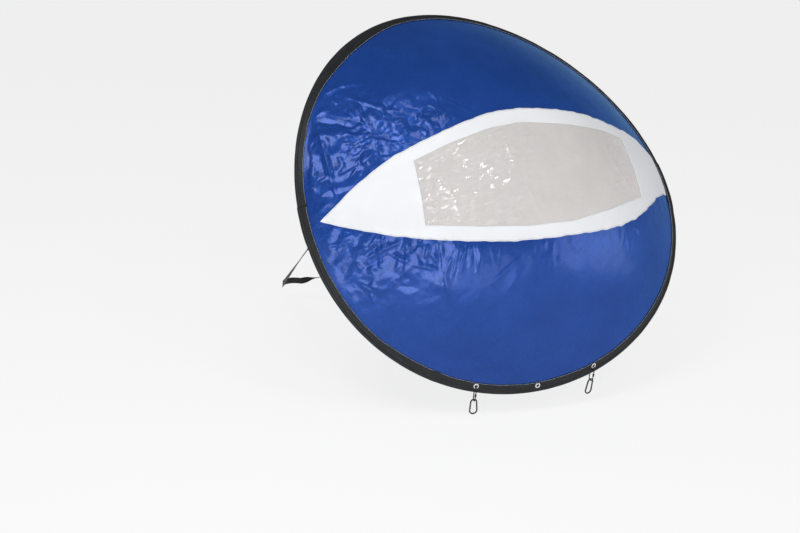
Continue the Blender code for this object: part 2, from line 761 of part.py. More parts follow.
def build_clip(side, angle_deg, hand, collection, cutters, finishes):
    """Snap clip on a foot loop: bar, gate, gate pin and gate spring."""
    middle, sideways, down, front = loop_frame(angle_deg)
    drop = LOOP_LENGTH - LOOP_CORD_RADIUS - CLIP_BAR - BIGHT_GAP
    origin = middle + down * drop
    x_axis = sideways * hand
    z_axis = down * -1
    matrix = frame_matrix(origin, x_axis, z_axis.cross(x_axis), z_axis)
    gate_x, foot_x, foot_z, lean, shoulder, pin, nose = clip_sizes()

    body = tube("clip_body_" + side, clip_line(), CLIP_BAR, matrix, collection, finishes["clip"])
    cheek = (CLIP_BAR - CLIP_TONGUE / 2) + OVERRUN
    wide = 2 * (CLIP_BAR + GAP)
    hinge_room = shoulder - (pin - TONGUE_DROP) + OVERRUN
    nose_room = NOSE_TONGUE + OVERRUN
    for sign, word in ((-1, "back"), (1, "front")):
        beside = Matrix.Translation((0, sign * (CLIP_TONGUE + cheek) / 2, 0))
        top = local(matrix, gate_x, shoulder - hinge_room / 2) @ beside
        cut(body, box("cheek_%s_%s" % (word, side), (wide, cheek, hinge_room), top, cutters))
        foot = local(matrix, gate_x, nose + nose_room / 2) @ beside
        cut(body, box("nose_%s_%s" % (word, side), (wide, cheek, nose_room), foot, cutters))
    across = Matrix.Rotation(math.pi / 2, 4, "X")
    pin_place = local(matrix, gate_x, pin) @ across
    hole = cylinder("pin_hole_" + side, PIN_RADIUS + GAP, 2 * (CLIP_BAR + OVERRUN), pin_place, cutters, count=12)
    cut(body, hole)

    gate_top = pin + PRONG_RISE
    gate_foot = nose + GAP
    middle_z = (gate_top + gate_foot) / 2
    gate = cylinder("gate_" + side, CLIP_BAR, gate_top - gate_foot, local(matrix, gate_x, middle_z),
                    collection, finishes["gate"], 12)
    top_floor = pin - GATE_SLOT_DROP
    top_slot = gate_top - top_floor + OVERRUN
    cut(gate, box("fork_" + side, (wide, CLIP_SLOT, top_slot),
                  local(matrix, gate_x, top_floor + top_slot / 2), cutters))
    foot_slot = NOSE_TONGUE + GAP + OVERRUN
    foot_roof = nose + NOSE_TONGUE + 2 * GAP
    cut(gate, box("catch_" + side, (wide, CLIP_SLOT, foot_slot),
                  local(matrix, gate_x, foot_roof - foot_slot / 2), cutters))
    cut(gate, hole)
    spring_length = SPRING_TURNS * SPRING_PITCH
    bore_radius = SPRING_RADIUS + SPRING_WIRE + GAP
    bore_foot = top_floor - spring_length - 2 * SPRING_WIRE - 2 * GAP
    bore_top = top_floor + GAP
    cut(gate, cylinder("spring_bore_" + side, bore_radius, bore_top - bore_foot,
                       local(matrix, gate_x, (bore_top + bore_foot) / 2), cutters, count=12))
    round_shading(gate)

    cylinder("gate_pin_" + side, PIN_RADIUS, 2 * CLIP_BAR, pin_place, collection, finishes["steel"], 12)

    steps = 8
    turns = [i / steps for i in range(SPRING_TURNS * steps + 1)]
    coil_foot = bore_foot + GAP + SPRING_WIRE
    coil = [(SPRING_RADIUS * math.cos(2 * math.pi * t), SPRING_RADIUS * math.sin(2 * math.pi * t),
             coil_foot + SPRING_PITCH * t) for t in turns]
    spring = tube("gate_spring_" + side, coil, SPRING_WIRE, local(matrix, gate_x, 0), collection,
                  finishes["steel"])
    return body, gate, spring


def strip(name, places, widths, width, thick, collection, material):
    """Flat webbing through places, its width lying along the given directions."""
    rings = []
    for i, place in enumerate(places):
        ahead = places[min(i + 1, len(places) - 1)] - places[max(i - 1, 0)]
        along = ahead.normalized()
        side = (widths[i] - along * widths[i].dot(along)).normalized()
        face = along.cross(side)
        bend = 1.0
        if 0 < i < len(places) - 1:
            before = (places[i] - places[i - 1]).normalized()
            after = (places[i + 1] - places[i]).normalized()
            bend = 1 / max(0.7, math.cos(before.angle(after) / 2))
        half = thick / 2 * bend
        rings.append([
            place + side * (width / 2) + face * half, place - side * (width / 2) + face * half,
            place - side * (width / 2) - face * half, place + side * (width / 2) - face * half,
        ])
    return loft(name, rings, False, collection, material, smooth=False)


def side_frame(hand, shift=0.0):
    """Back of the sleeve at a side loop: place, outward, along and back directions."""
    angle = SIDE_LOOP_AT_DEG if hand > 0 else 180 - SIDE_LOOP_AT_DEG
    angle += math.degrees(shift / RADIUS_X)
    centre, outward, along, front = rim_frame(angle)
    lift = LIP_OUT + LAP_GROW + GAP + SIDE_LOOP_THICK / 2
    return inset_point(angle, SIDE_LOOP_INSET) - front * lift, outward, along, front * -1


def build_side_loop(side, hand, collection, finish):
    """Webbing loop sewn flat to the sleeve's back at its ends, standing off in the middle."""
    flat = SIDE_LOOP_FLAT / 2
    foot = flat + SIDE_LOOP_RAMP
    end = foot + SIDE_LOOP_SEWN
    outline = ((-end, 0), (-foot, 0), (-flat, 1), (flat, 1), (foot, 0), (end, 0))
    places = []
    widths = []
    for shift, raised in outline:
        place, outward, along, back = side_frame(hand, shift)
        places.append(place + back * (SIDE_LOOP_SEAT + SIDE_LOOP_RISE * raised))
        widths.append(outward)
    strip("side_loop_" + side, places, widths, SIDE_LOOP_WIDTH, SIDE_LOOP_THICK, collection, finish)


def eye_route(hand, target):
    """Control tape from its sewn tail round a side loop and off towards a target: places, widths."""
    place, outward, along, back = side_frame(hand)
    base = place + back * (SIDE_LOOP_SEAT + SIDE_LOOP_RISE)
    leg = (target - base).normalized()
    beyond = (outward - leg * outward.dot(leg)).normalized()
    half = SIDE_LOOP_WIDTH / 2
    clear = SIDE_LOOP_THICK / 2 + GAP + TAPE_THICK / 2
    beside = TAPE_THICK + GAP
    tail = [(beside, TAPE_TAIL), (beside, TAPE_TAIL_JOIN)]
    places = [base + beyond * x + leg * z for x, z in tail]
    steps = [math.pi / 2 * i / 3 for i in range(4)]
    round_loop = [(half + clear * math.cos(t), -clear * math.sin(t)) for t in steps]
    round_loop += [(-half - clear * math.sin(t), -clear * math.cos(t)) for t in steps]
    places += [base + outward * x + back * z for x, z in round_loop]
    places += [base + leg * TAPE_TAIL_JOIN, base + leg * TAPE_TAIL]
    return places, along


def build_control_tape(collection, finish):
    """One webbing tape from the left side loop round its bight to the right side loop."""
    centre = Vector(BIGHT_CENTRE)
    left, left_width = eye_route(-1, bight_touch(-1, centre))
    right, right_width = eye_route(1, bight_touch(1, centre))
    bight = []
    start = bight_turn(left[-1], centre, 1) + 2 * math.pi
    stop = bight_turn(right[-1], centre, -1)
    count = 8
    for i in range(count + 1):
        turn = start + (stop - start) * i / count
        bight.append(centre + Vector((math.cos(turn), math.sin(turn), 0)) * BIGHT_RADIUS)
    if left_width.dot(UP) < 0:
        left_width = left_width * -1
    if right_width.dot(UP) < 0:
        right_width = right_width * -1
    edge_on = Vector(EDGE_ON_SHARES).normalized()
    places = list(left)
    widths = [left_width] * len(left)
    leg, turned_widths = tape_leg(left[-1], bight[0], (left_width, edge_on, UP), (0.0, 0.11, 1.0))
    places += leg + bight
    widths += turned_widths + [UP] * len(bight)
    leg, turned_widths = tape_leg(bight[-1], right[-1], (UP, right_width), (0.0, 1.0))
    places += leg + list(reversed(right))
    widths += turned_widths + [right_width] * len(right)
    strip("control_tape", places, widths, TAPE_WIDTH, TAPE_THICK, collection, finish)


def bight_touch(hand, centre):
    """Point of the bight that the leg from one side loop touches."""
    turn = bight_turn(side_frame(hand)[0], centre, -hand)
    return centre + Vector((math.cos(turn), math.sin(turn), 0)) * BIGHT_RADIUS


def bight_turn(point, centre, hand):
    """Angle on the bight at which a leg from a point touches it."""
    away = Vector((point.x - centre.x, point.y - centre.y))
    swing = math.acos(BIGHT_RADIUS / away.length)
    return math.atan2(away.y, away.x) - hand * swing


def tape_leg(start, end, directions, stops):
    """Straight leg of the tape without its two ends, turning between width directions."""
    spacing = 2.5 * TAPE_WIDTH
    count = max(2, round((end - start).length / spacing))
    places = []
    widths = []
    for i in range(1, count):
        share = i / count
        places.append(start.lerp(end, share))
        for stop0, stop1, near, far in zip(stops, stops[1:], directions, directions[1:]):
            if share <= stop1:
                widths.append(near.lerp(far, (share - stop0) / (stop1 - stop0)).normalized())
                break
    return places, widths


def main():
    """Build every piece of the sail."""
    clear_scene()
    parts = bpy.data.collections.new("canoe_sail")
    cutters = bpy.data.collections.new("cutters")
    bpy.context.scene.collection.children.link(parts)
    bpy.context.scene.collection.children.link(cutters)
    finishes = {
        "blue": make_material("coated_cloth_blue", (0.03, 0.09, 0.42), 0.35),
        "white": make_material("panel_cloth_white", (0.85, 0.88, 0.92), 0.5),
        "film": make_material("window_film_clear", (0.80, 0.78, 0.75), 0.15),
        "black": make_material("webbing_black", (0.025, 0.027, 0.030), 0.8),
        "rod": make_material("glass_fibre_rod", (0.75, 0.72, 0.62), 0.4),
        "steel": make_material("plated_steel", (0.62, 0.63, 0.64), 0.3, 1.0),
        "clip": make_material("clip_black", (0.02, 0.02, 0.022), 0.4, 0.6),
        "gate": make_material("gate_black", (0.03, 0.03, 0.032), 0.4, 0.6),
    }
    angles = station_angles()
    build_upper_panel(angles, parts, finishes["blue"])
    lower = build_lower_panel(angles, parts, finishes["blue"])
    eye, middle = build_eye_panel(angles, parts, finishes["white"])
    build_window(middle, parts, finishes["film"])
    sleeve_upper, sleeve_lower = build_sleeve(angles, parts, finishes["black"])
    build_rod(parts, finishes)
    build_eyelets(sleeve_lower, lower, parts, cutters, finishes["steel"])
    for side, hand in (("left", -1), ("right", 1)):
        angle = -90 + hand * EYELET_SPREAD_DEG
        build_foot_loop(side, angle, parts, finishes["black"])
        build_clip(side, angle, hand, parts, cutters, finishes)
        build_side_loop(side, hand, parts, finishes["black"])
    build_control_tape(parts, finishes["black"])


main()
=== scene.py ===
"""Looks of a pop-up downwind sail: crumpled cloth, clear window, sleeve, stitches, eyelets, clips and tape.

The cloth is a bowl on a springy hoop. One formula gives its surface, and every panel, sleeve length and
stitch is laid on it. Lengths are in metres and angles in degrees: x to the sail's right seen from its domed
front, y aft, z up, with the origin on the hoop rod at the foot. A place on the cloth is given across and up
from its middle, as shares of the hoop's half width and half height. Tables give such places in thousandths.
"""
from __future__ import annotations

import logging
import math
from dataclasses import dataclass
from enum import Enum
from typing import Callable, NamedTuple, Sequence

import bmesh
import bpy
import numpy as np
from mathutils import Matrix, Vector

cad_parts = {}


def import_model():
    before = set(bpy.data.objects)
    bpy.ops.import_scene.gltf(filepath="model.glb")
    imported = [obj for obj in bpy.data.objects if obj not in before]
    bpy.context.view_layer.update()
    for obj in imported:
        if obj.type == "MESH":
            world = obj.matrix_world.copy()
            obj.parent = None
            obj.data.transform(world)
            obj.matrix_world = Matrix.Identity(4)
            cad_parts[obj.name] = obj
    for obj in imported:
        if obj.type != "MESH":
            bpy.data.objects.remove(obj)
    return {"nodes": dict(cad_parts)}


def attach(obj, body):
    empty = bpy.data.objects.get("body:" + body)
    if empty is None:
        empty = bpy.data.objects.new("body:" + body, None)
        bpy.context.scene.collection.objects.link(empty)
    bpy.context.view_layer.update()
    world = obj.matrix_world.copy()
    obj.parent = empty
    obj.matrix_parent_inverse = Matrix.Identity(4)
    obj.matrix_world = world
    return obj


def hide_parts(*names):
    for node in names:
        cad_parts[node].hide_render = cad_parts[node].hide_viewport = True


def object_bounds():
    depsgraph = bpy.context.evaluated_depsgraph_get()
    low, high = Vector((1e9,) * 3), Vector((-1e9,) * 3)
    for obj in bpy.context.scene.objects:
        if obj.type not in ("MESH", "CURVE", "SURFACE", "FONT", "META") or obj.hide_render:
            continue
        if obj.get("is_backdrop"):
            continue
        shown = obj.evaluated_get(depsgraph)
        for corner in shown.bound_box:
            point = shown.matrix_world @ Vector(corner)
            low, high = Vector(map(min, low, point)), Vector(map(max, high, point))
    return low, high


LOG = logging.getLogger("sail")
ROOT_BODY = "sail"
THOUSAND = 1000
TEN_THOUSAND = 10000
LEVEL = np.array((0.0, 0.0, 1.0))
Table = tuple[tuple[int, ...], ...]
Pair = tuple[float, float]
Triple = tuple[float, float, float]
Array = np.ndarray
Socket = bpy.types.NodeSocket
Piece = bpy.types.Object
Field = Callable[[Array, Array], Array]


class Side(Enum):
    """The two sides of the sail, seen from its front."""

    LEFT = -1
    RIGHT = 1

    @property
    def word(self) -> str:
        """Name used in pieces and bodies."""
        return self.name.lower()


# --- The sail's surface ------------------------------------------------------------------------


def unit(vectors: Array) -> Array:
    """Vectors at unit length."""
    return vectors / np.linalg.norm(vectors, axis=-1, keepdims=True)


def square_to(ahead: Array, vectors: Array) -> Array:
    """Unit parts of vectors that stand square to the directions ahead."""
    return unit(vectors - ahead * np.sum(vectors * ahead, -1, keepdims=True))


def run_along(points: Array) -> Array:
    """Length along a line at each of its points."""
    return np.append(0, np.cumsum(np.linalg.norm(np.diff(points, axis=0), axis=1)))


def smooth_step(values: Array) -> Array:
    """Ease from 0 to 1."""
    held = np.clip(values, 0, 1)
    return held * held * (3 - 2 * held)


def polar(share: float | Array, angle_deg: float | Array) -> tuple[Array, Array]:
    """Place across and up of a share of the hoop's radius at an angle."""
    angle = np.radians(angle_deg)
    return share * np.cos(angle), share * np.sin(angle)


@dataclass(frozen=True)
class Bowl:
    """Middle surface of the sail, held in a hoop that is saddled, twisted and leans aft."""

    half_width: float = 0.621
    half_height: float = 0.580
    belly: float = 0.262
    saddle: float = 0.0197
    twist: float = 0.0373
    slack: float = 0.0035
    lean_deg: float = 35.7
    step: float = 0.001
    step_deg: float = 0.01

    def _lean(self, places: Array) -> Array:
        """Turn places of the upright hoop about its foot, top going aft."""
        cos, sin = math.cos(math.radians(self.lean_deg)), math.sin(math.radians(self.lean_deg))
        x, y, z = places[..., 0], places[..., 1], places[..., 2]
        return np.stack([x, y * cos + z * sin, z * cos - y * sin], -1)

    def flat(self, across: Array, up: Array) -> Array:
        """Flat places in metres."""
        return np.stack([across * self.half_width, up * self.half_height], -1)

    def front(self, across: Array, up: Array) -> Array:
        """Unit normals of the surface, towards the sail's front."""
        slope_x = 2 * (self.belly - self.saddle) * across + 2 * self.twist * up
        slope_z = 2 * (self.belly + self.saddle) * up + 2 * self.twist * across
        even = np.full_like(slope_x, -self.half_width * self.half_height)
        return self._lean(unit(np.stack([slope_x * self.half_height, even, slope_z * self.half_width], -1)))

    def point(self, across: Array, up: Array, lift: float | Array = 0.0) -> Array:
        """Points of the surface, lifted towards the front.

        Args:
            across: places across, as shares of the half width.
            up: places up, as shares of the half height.
            lift: distance towards the front.

        Returns:
            Points, with x, y and z on the last axis.
        """
        across, up, lift = (np.array(a, float) for a in np.broadcast_arrays(across, up, lift))
        level = across ** 2 + up ** 2
        inside = np.clip(1 - level, 0, None)
        fan = 0.6 * np.sin(9 * across + 7 * up) + 0.4 * np.sin(5 * across - 11 * up)
        depth = self.slack * np.sqrt(inside) * inside * fan - self.belly * (1 - level)
        depth += 2 * self.twist * across * up - self.saddle * (across ** 2 - up ** 2 + 1)
        places = np.stack([self.half_width * across, depth, self.half_height * (1 + up)], -1)
        return self._lean(places) + self.front(across, up) * lift[..., None]

    def inset(self, angle_deg: Array, inward: Array, lift: Array | float = 0.0) -> Array:
        """Points on the cloth a length inward from the rod at angles round the hoop."""
        rim = self.point(*polar(1.0, angle_deg))
        inner = self.point(*polar(1 - self.step, angle_deg))
        length = np.linalg.norm(rim - inner, axis=-1) / self.step
        return self.point(*polar(1 - inward / length, angle_deg), lift)

    def rim(self, angle_deg: Array) -> tuple[Array, Array, Array, Array]:
        """Rod centre, outward, along and front directions at angles round the hoop."""
        before, after = (self.point(*polar(1.0, angle_deg + way * self.step_deg)) for way in (-1, 1))
        along = unit(after - before)
        across, up = polar(1.0, angle_deg)
        front = square_to(along, self.front(across, up))
        return self.point(across, up), np.cross(along, front), along, front


BOWL = Bowl()


@dataclass(frozen=True)
class EyeOutline:
    """Edges of the white panel and of its window."""

    tip: float = -0.935
    tip_up: float = -0.090
    window_left: float = -0.548
    window_right: float = 0.653
    ease: float = 0.03
    top: Table = (
        (-935, -90), (-790, 30), (-640, 122), (-480, 178), (-320, 230), (-150, 278), (20, 293), (200, 285),
        (400, 275), (596, 246), (711, 232), (817, 212), (875, 183), (942, 140), (990, 90),
    )
    foot: Table = (
        (-935, -90), (-850, -147), (-690, -230), (-540, -285), (-380, -325), (-180, -360), (20, -368),
        (210, -358), (317, -347), (447, -324), (586, -277), (663, -234), (741, -192), (812, -148),
        (884, -117), (957, -102), (990, -95),
    )
    window_top: Table = (
        (-545, 86), (-395, 135), (-181, 190), (-16, 210), (168, 200), (346, 192), (540, 185), (650, 160),
    )
    window_foot: Table = ((-545, -221), (-312, -271), (-82, -302), (143, -298), (381, -246), (650, -165))

    def read(self, table: Table, across: Array) -> Array:
        """Height of an edge at places across, its corners eased."""
        knots = np.array(table) / THOUSAND
        ease = np.clip(np.abs(across - knots[0, 0]), 0, self.ease)
        spread = np.linspace(-1, 1, 7)
        return np.mean([np.interp(across + s * ease, knots[:, 0], knots[:, 1]) for s in spread], axis=0)

    def top_at(self, across: Array) -> Array:
        """Upper edge of the white panel."""
        return np.maximum(self.read(self.top, across), self.tip_up)

    def foot_at(self, across: Array) -> Array:
        """Lower edge of the white panel."""
        return np.minimum(self.read(self.foot, across), self.tip_up)

    def window(self, across: Array) -> tuple[Array, Array]:
        """Lower and upper edge of the window."""
        return self.read(self.window_foot, across), self.read(self.window_top, across)


EYE = EyeOutline()


class Crease(NamedTuple):
    """One fold line of the cloth: its points across and up, how high it stands and how wide it is."""

    points: Array
    height: float
    width: float


class Puckers(NamedTuple):
    """Short puckers along a part of a seam: which way they run, from where to where, and how long at most."""

    edge: Callable[[Array], Array]
    way: int
    low: float
    high: float
    count: int
    most: float
    strong: float


def creases_of(table: Table) -> list[Crease]:
    """Creases of a table: height and width in tenths of a millimetre, then the points of each."""
    return [Crease(np.array(run).reshape(-1, 2) / THOUSAND, height / TEN_THOUSAND, width / TEN_THOUSAND)
            for height, width, *run in table]


@dataclass(frozen=True)
class Crumple:
    """Height of the crumpled cloth: straight facets between random peaks, and named creases.

    A zone is a part that is crumpled more than the rest: its middle, its reach across and up, and how much.
    """

    sizes: tuple[float, ...] = (0.105, 0.050, 0.027, 0.015)
    peaks: tuple[float, ...] = (0.0026, 0.0035, 0.0025, 0.0012)
    turns_deg: tuple[float, ...] = (18.0, -33.0, 51.0, 7.0)
    stretch: tuple[float, ...] = (1.5, 1.35, 1.2, 1.0)
    seed: int = 11
    seed_step: int = 7
    even: float = 0.07
    most: float = 1.1
    zones: Table = (
        (-750, 260, 250, 170, 900), (-940, 20, 90, 240, 850), (-460, 300, 150, 70, 800),
        (-250, 360, 200, 60, 350), (-880, -180, 120, 120, 620), (-600, -310, 260, 90, 720),
        (100, -440, 380, 50, 250), (-740, -420, 220, 150, 350), (-450, -620, 300, 200, 140),
        (-700, 540, 140, 80, 250), (-500, 780, 160, 100, 300), (-280, -870, 200, 70, 500),
        (220, 370, 160, 50, 400),
    )
    creases: Table = (
        (30, 120, -159, -480, -171, -516, -203, -562), (20, 90, 10, -402, 20, -527), (22, 90, 105, -383, 139, -432),
        (20, 100, 273, -384, 335, -461), (20, 90, 535, -324, 628, -362), (26, 110, -129, -419, -289, -529),
        (34, 120, -729, 499, -610, 385, -466, 290), (24, 90, -365, 327, -356, 236), (24, 100, -382, 442, -363, 369),
        (22, 90, -340, 382, -230, 273), (44, 180, -810, 529, -715, 555, -618, 546), (26, 120, -496, 792, -450, 681),
        (26, 100, -778, -303, -642, -264), (24, 90, -857, -409, -841, -439), (26, 100, -809, -406, -760, -450),
        (30, 120, -471, -366, -478, -470, -463, -557), (24, 100, -965, 51, -948, -73), (30, 120, -867, 237, -871, 67),
        (32, 160, -666, -684, -525, -794, -460, -824, -307, -927), (20, 100, -200, -899, -131, -958),
        (22, 90, -531, -813, -478, -840), (34, 110, -709, 448, -680, 294), (-26, 90, -679, 438, -666, 317),
        (-40, 120, -869, 381, -791, 353, -746, 315), (46, 100, -867, 346, -873, 198, -871, 106),
        (-36, 90, -854, 286, -857, 192, -856, 100), (36, 90, -916, 331, -920, 225, -948, 113, -951, -6),
        (26, 80, -883, 243, -882, 89), (-34, 90, -813, 250, -737, 225), (-26, 80, -829, 192, -817, 137),
        (-34, 100, -748, 176, -759, 118, -848, 88), (-46, 130, -676, 249, -598, 205, -534, 163),
        (30, 90, -678, 207, -659, 149), (28, 90, -646, 208, -624, 160), (30, 80, -697, 155, -633, 137),
        (32, 100, -724, 179, -700, 100), (24, 80, -585, 256, -547, 192), (36, 100, -456, 291, -429, 219),
        (34, 100, -875, 87, -862, -4), (32, 100, -768, 111, -807, 64), (34, 110, -792, 319, -732, 245),
        (34, 120, -885, 422, -796, 436), (24, 90, -769, 499, -761, 459), (-26, 70, -930, 229, -936, 159),
        (-44, 100, -782, -291, -703, -248), (30, 120, -798, -203, -781, -278), (30, 90, -739, -221, -773, -264),
        (-34, 100, -610, -321, -556, -269), (-32, 90, -493, -309, -506, -418), (36, 100, -429, -341, -481, -449),
        (38, 120, -378, -342, -432, -434), (32, 110, -699, -302, -624, -364), (-28, 90, -591, -321, -569, -378),
        (28, 90, -536, -343, -505, -401), (26, 100, -931, -205, -873, -215), (28, 90, -820, -310, -799, -351),
        (26, 80, -815, -388, -733, -449), (22, 80, -771, -451, -755, -505), (26, 90, -609, -377, -522, -415),
        (22, 80, -473, -467, -468, -544), (24, 80, -341, -405, -347, -476),
    )
    puckers: tuple[Puckers, ...] = (
        Puckers(EYE.foot_at, -1, -0.80, -0.30, 34, 0.15, 1.35), Puckers(EYE.foot_at, -1, -0.30, 0.86, 26, 0.12, 1.0),
        Puckers(EYE.top_at, 1, -0.72, 0.30, 20, 0.08, 1.0),
    )
    pucker_seed: int = 41
    pucker_inset: float = 0.010
    pucker_run: Pair = (0.35, 1.0)
    pucker_slant: Pair = (-0.40, 0.20)
    pucker_height: Pair = (0.0010, 0.0024)
    pucker_width: Pair = (0.006, 0.011)
    steep: float = 0.6
    sharp: float = 1.3
    end_share: float = 0.25
    fold_share: float = 0.60
    star: Pair = (-0.660, 0.265)
    star_rays: float = 15.0
    star_slope: float = 0.060
    star_reach: float = 0.125
    star_core: float = 0.004
    star_rings: float = 1.25
    star_seeds: tuple[int, int] = (71, 83)
    star_finer: float = 2.1
    star_finer_share: float = 0.45
    star_finer_deg: float = 9.0
    star_seam: float = 1.3
    star_seam_ease: float = 0.35
    fade_from: float = 0.93
    fade_to: float = 0.966
    calm_run: float = 0.020
    calm_share: float = 0.72

    @staticmethod
    def _drift(places: Array, size: float, seed: int) -> Array:
        """Random drift of places, about as large as its size."""
        cells, start = 96, 40.0
        table = np.random.default_rng(seed).uniform(-1, 1, (cells, cells, 2))
        grid = places / size + start
        cell = np.floor(grid).astype(int)
        ease = grid - cell
        i, j = cell[..., 0] % (cells - 1), cell[..., 1] % (cells - 1)
        near = table[i, j] * (1 - ease[..., :1]) + table[i + 1, j] * ease[..., :1]
        far = table[i, j + 1] * (1 - ease[..., :1]) + table[i + 1, j + 1] * ease[..., :1]
        return (near * (1 - ease[..., 1:]) + far * ease[..., 1:]) * size

    def facets(self, places: Array, size: float, turn_deg: float, stretch: float, seed: int) -> Array:
        """Straight facets between peaks of a lattice that is turned, stretched and bent.

        Args:
            places: flat places in metres, x and z on the last axis.
            size: spacing of the peaks.
            turn_deg: turn of the lattice.
            stretch: how much longer the facets are one way.
            seed: seed of the random peaks.

        Returns:
            Heights from -1 to 1.
        """
        cells, start, bend, bend_size = 256, 60.0, 0.40, 1.25
        cos, sin = math.cos(math.radians(turn_deg)), math.sin(math.radians(turn_deg))
        bent = places + bend * self._drift(places, size * bend_size, seed + 1)
        u = (bent[..., 0] * cos + bent[..., 1] * sin) / (size * stretch) + start
        v = (bent[..., 1] * cos - bent[..., 0] * sin) / (size / stretch) + start
        i, j = np.floor(u).astype(int), np.floor(v).astype(int)
        s, t = u - i, v - j
        rng = np.random.default_rng(seed)
        peaks = rng.uniform(-1, 1, (cells, cells))
        slant = rng.random((cells, cells)) > 0.5
        i, j = i % (cells - 1), j % (cells - 1)
        a, b, c, d = peaks[i, j], peaks[i + 1, j], peaks[i, j + 1], peaks[i + 1, j + 1]
        rising = np.where(s > t, a + (b - a) * s + (d - b) * t, a + (d - c) * s + (c - a) * t)
        falling = np.where(s + t < 1, a + (b - a) * s + (c - a) * t, d + (c - d) * (1 - s) + (b - d) * (1 - t))
        return np.where(slant[i, j], rising, falling)

    def amount(self, across: Array, up: Array) -> Array:
        """How much the cloth is crumpled at places, from 0 to about 1."""
        total = np.full_like(across, self.even)
        for middle_x, middle_z, reach_x, reach_z, share in np.array(self.zones) / THOUSAND:
            far = ((across - middle_x) / reach_x) ** 2 + ((up - middle_z) / reach_z) ** 2
            total += share * np.exp(-far)
        return np.clip(total, 0, self.most)

    def rays(self, flat: Array) -> Array:
        """Facets that run out from one crushed spot, small near it and long away from it."""
        away = flat - BOWL.flat(*self.star)
        far = np.maximum(np.linalg.norm(away, axis=-1), self.star_core)
        turn = np.mod(np.arctan2(away[..., 1], away[..., 0]) + self.star_seam, 2 * np.pi)
        places = np.stack([np.log(far / self.star_core) * self.star_rings, turn / (2 * np.pi) * self.star_rays], -1)
        first, second = self.star_seeds
        finer = self.facets(places * self.star_finer, 1.0, self.star_finer_deg, 1.0, second)
        height = self.facets(places, 1.0, 0.0, 1.0, first) + self.star_finer_share * finer
        seam = smooth_step(np.minimum(turn, 2 * np.pi - turn) / self.star_seam_ease)
        return self.star_slope * far * height * seam * np.exp(-(far / self.star_reach) ** 2)

    def fold(self, flat: Array, crease: Crease) -> Array:
        """Height of one crease, dying out at its ends."""
        line = BOWL.flat(*crease.points.T)
        runs = np.linalg.norm(np.diff(line, axis=0), axis=1)
        total, done = runs.sum(), 0.0
        best = np.full(flat.shape[:-1], np.inf)
        height = np.zeros(flat.shape[:-1])
        for start, end, run in zip(line, line[1:], runs):
            along = (end - start) / run
            away = flat - start
            reach = np.clip(away @ along, 0, run)
            off = away - reach[..., None] * along
            far = np.linalg.norm(off, axis=-1)
            side = off[..., 0] * along[1] - off[..., 1] * along[0]
            width = crease.width * np.where(side > 0, self.steep, 2 - self.steep)
            share = (done + reach) / total
            taper = np.clip(4 * share * (1 - share) + self.end_share, 0, 1)
            rise = np.clip(1 - far / width, 0, 1) ** self.sharp * taper
            height = np.where(far < best, rise, height)
            best = np.minimum(best, far)
            done += run
        return height * crease.height * self.fold_share

    def streaks(self) -> list[Crease]:
        """Short puckers that run off the white panel's seams."""
        rng = np.random.default_rng(self.pucker_seed)
        found = []
        for edge, way, low, high, count, most, strong in self.puckers:
            for place in rng.uniform(low, high, count):
                begin = float(edge(np.array(place))) + way * self.pucker_inset
                run = rng.uniform(*self.pucker_run) * most
                slant = rng.uniform(*self.pucker_slant)
                points = np.array(((place, begin), (place + slant * run, begin + way * run)))
                height = strong * rng.uniform(*self.pucker_height)
                found.append(Crease(points, height, rng.uniform(*self.pucker_width)))
        return found

    def height(self, across: Array, up: Array) -> Array:
        """Height of the cloth's crumples towards the front at places across and up."""
        flat, amount = BOWL.flat(across, up), self.amount(across, up)
        total = np.zeros_like(across)
        for i, (size, peak, turn, stretch) in enumerate(zip(self.sizes, self.peaks, self.turns_deg, self.stretch)):
            total += peak * amount * self.facets(flat, size, turn, stretch, self.seed + self.seed_step * i)
        total += self.rays(flat)
        for crease in creases_of(self.creases) + self.streaks():
            total += self.fold(flat, crease)
        level = np.sqrt(across ** 2 + up ** 2)
        total = total * smooth_step((self.fade_to - level) / (self.fade_to - self.fade_from))
        inside = np.minimum(EYE.top_at(across) - up, up - EYE.foot_at(across)) * BOWL.half_height
        return total * (1 - self.calm_share * smooth_step(inside / self.calm_run))


CRUMPLE = Crumple()


# --- Making pieces -----------------------------------------------------------------------------


def add_piece(name: str, bm: bmesh.types.BMesh) -> Piece:
    """Smooth object of a finished bmesh, at the origin of the scene."""
    mesh = bpy.data.meshes.new(name)
    bm.to_mesh(mesh)
    bm.free()
    mesh.shade_smooth()
    obj = bpy.data.objects.new(name, mesh)
    bpy.context.scene.collection.objects.link(obj)
    return obj


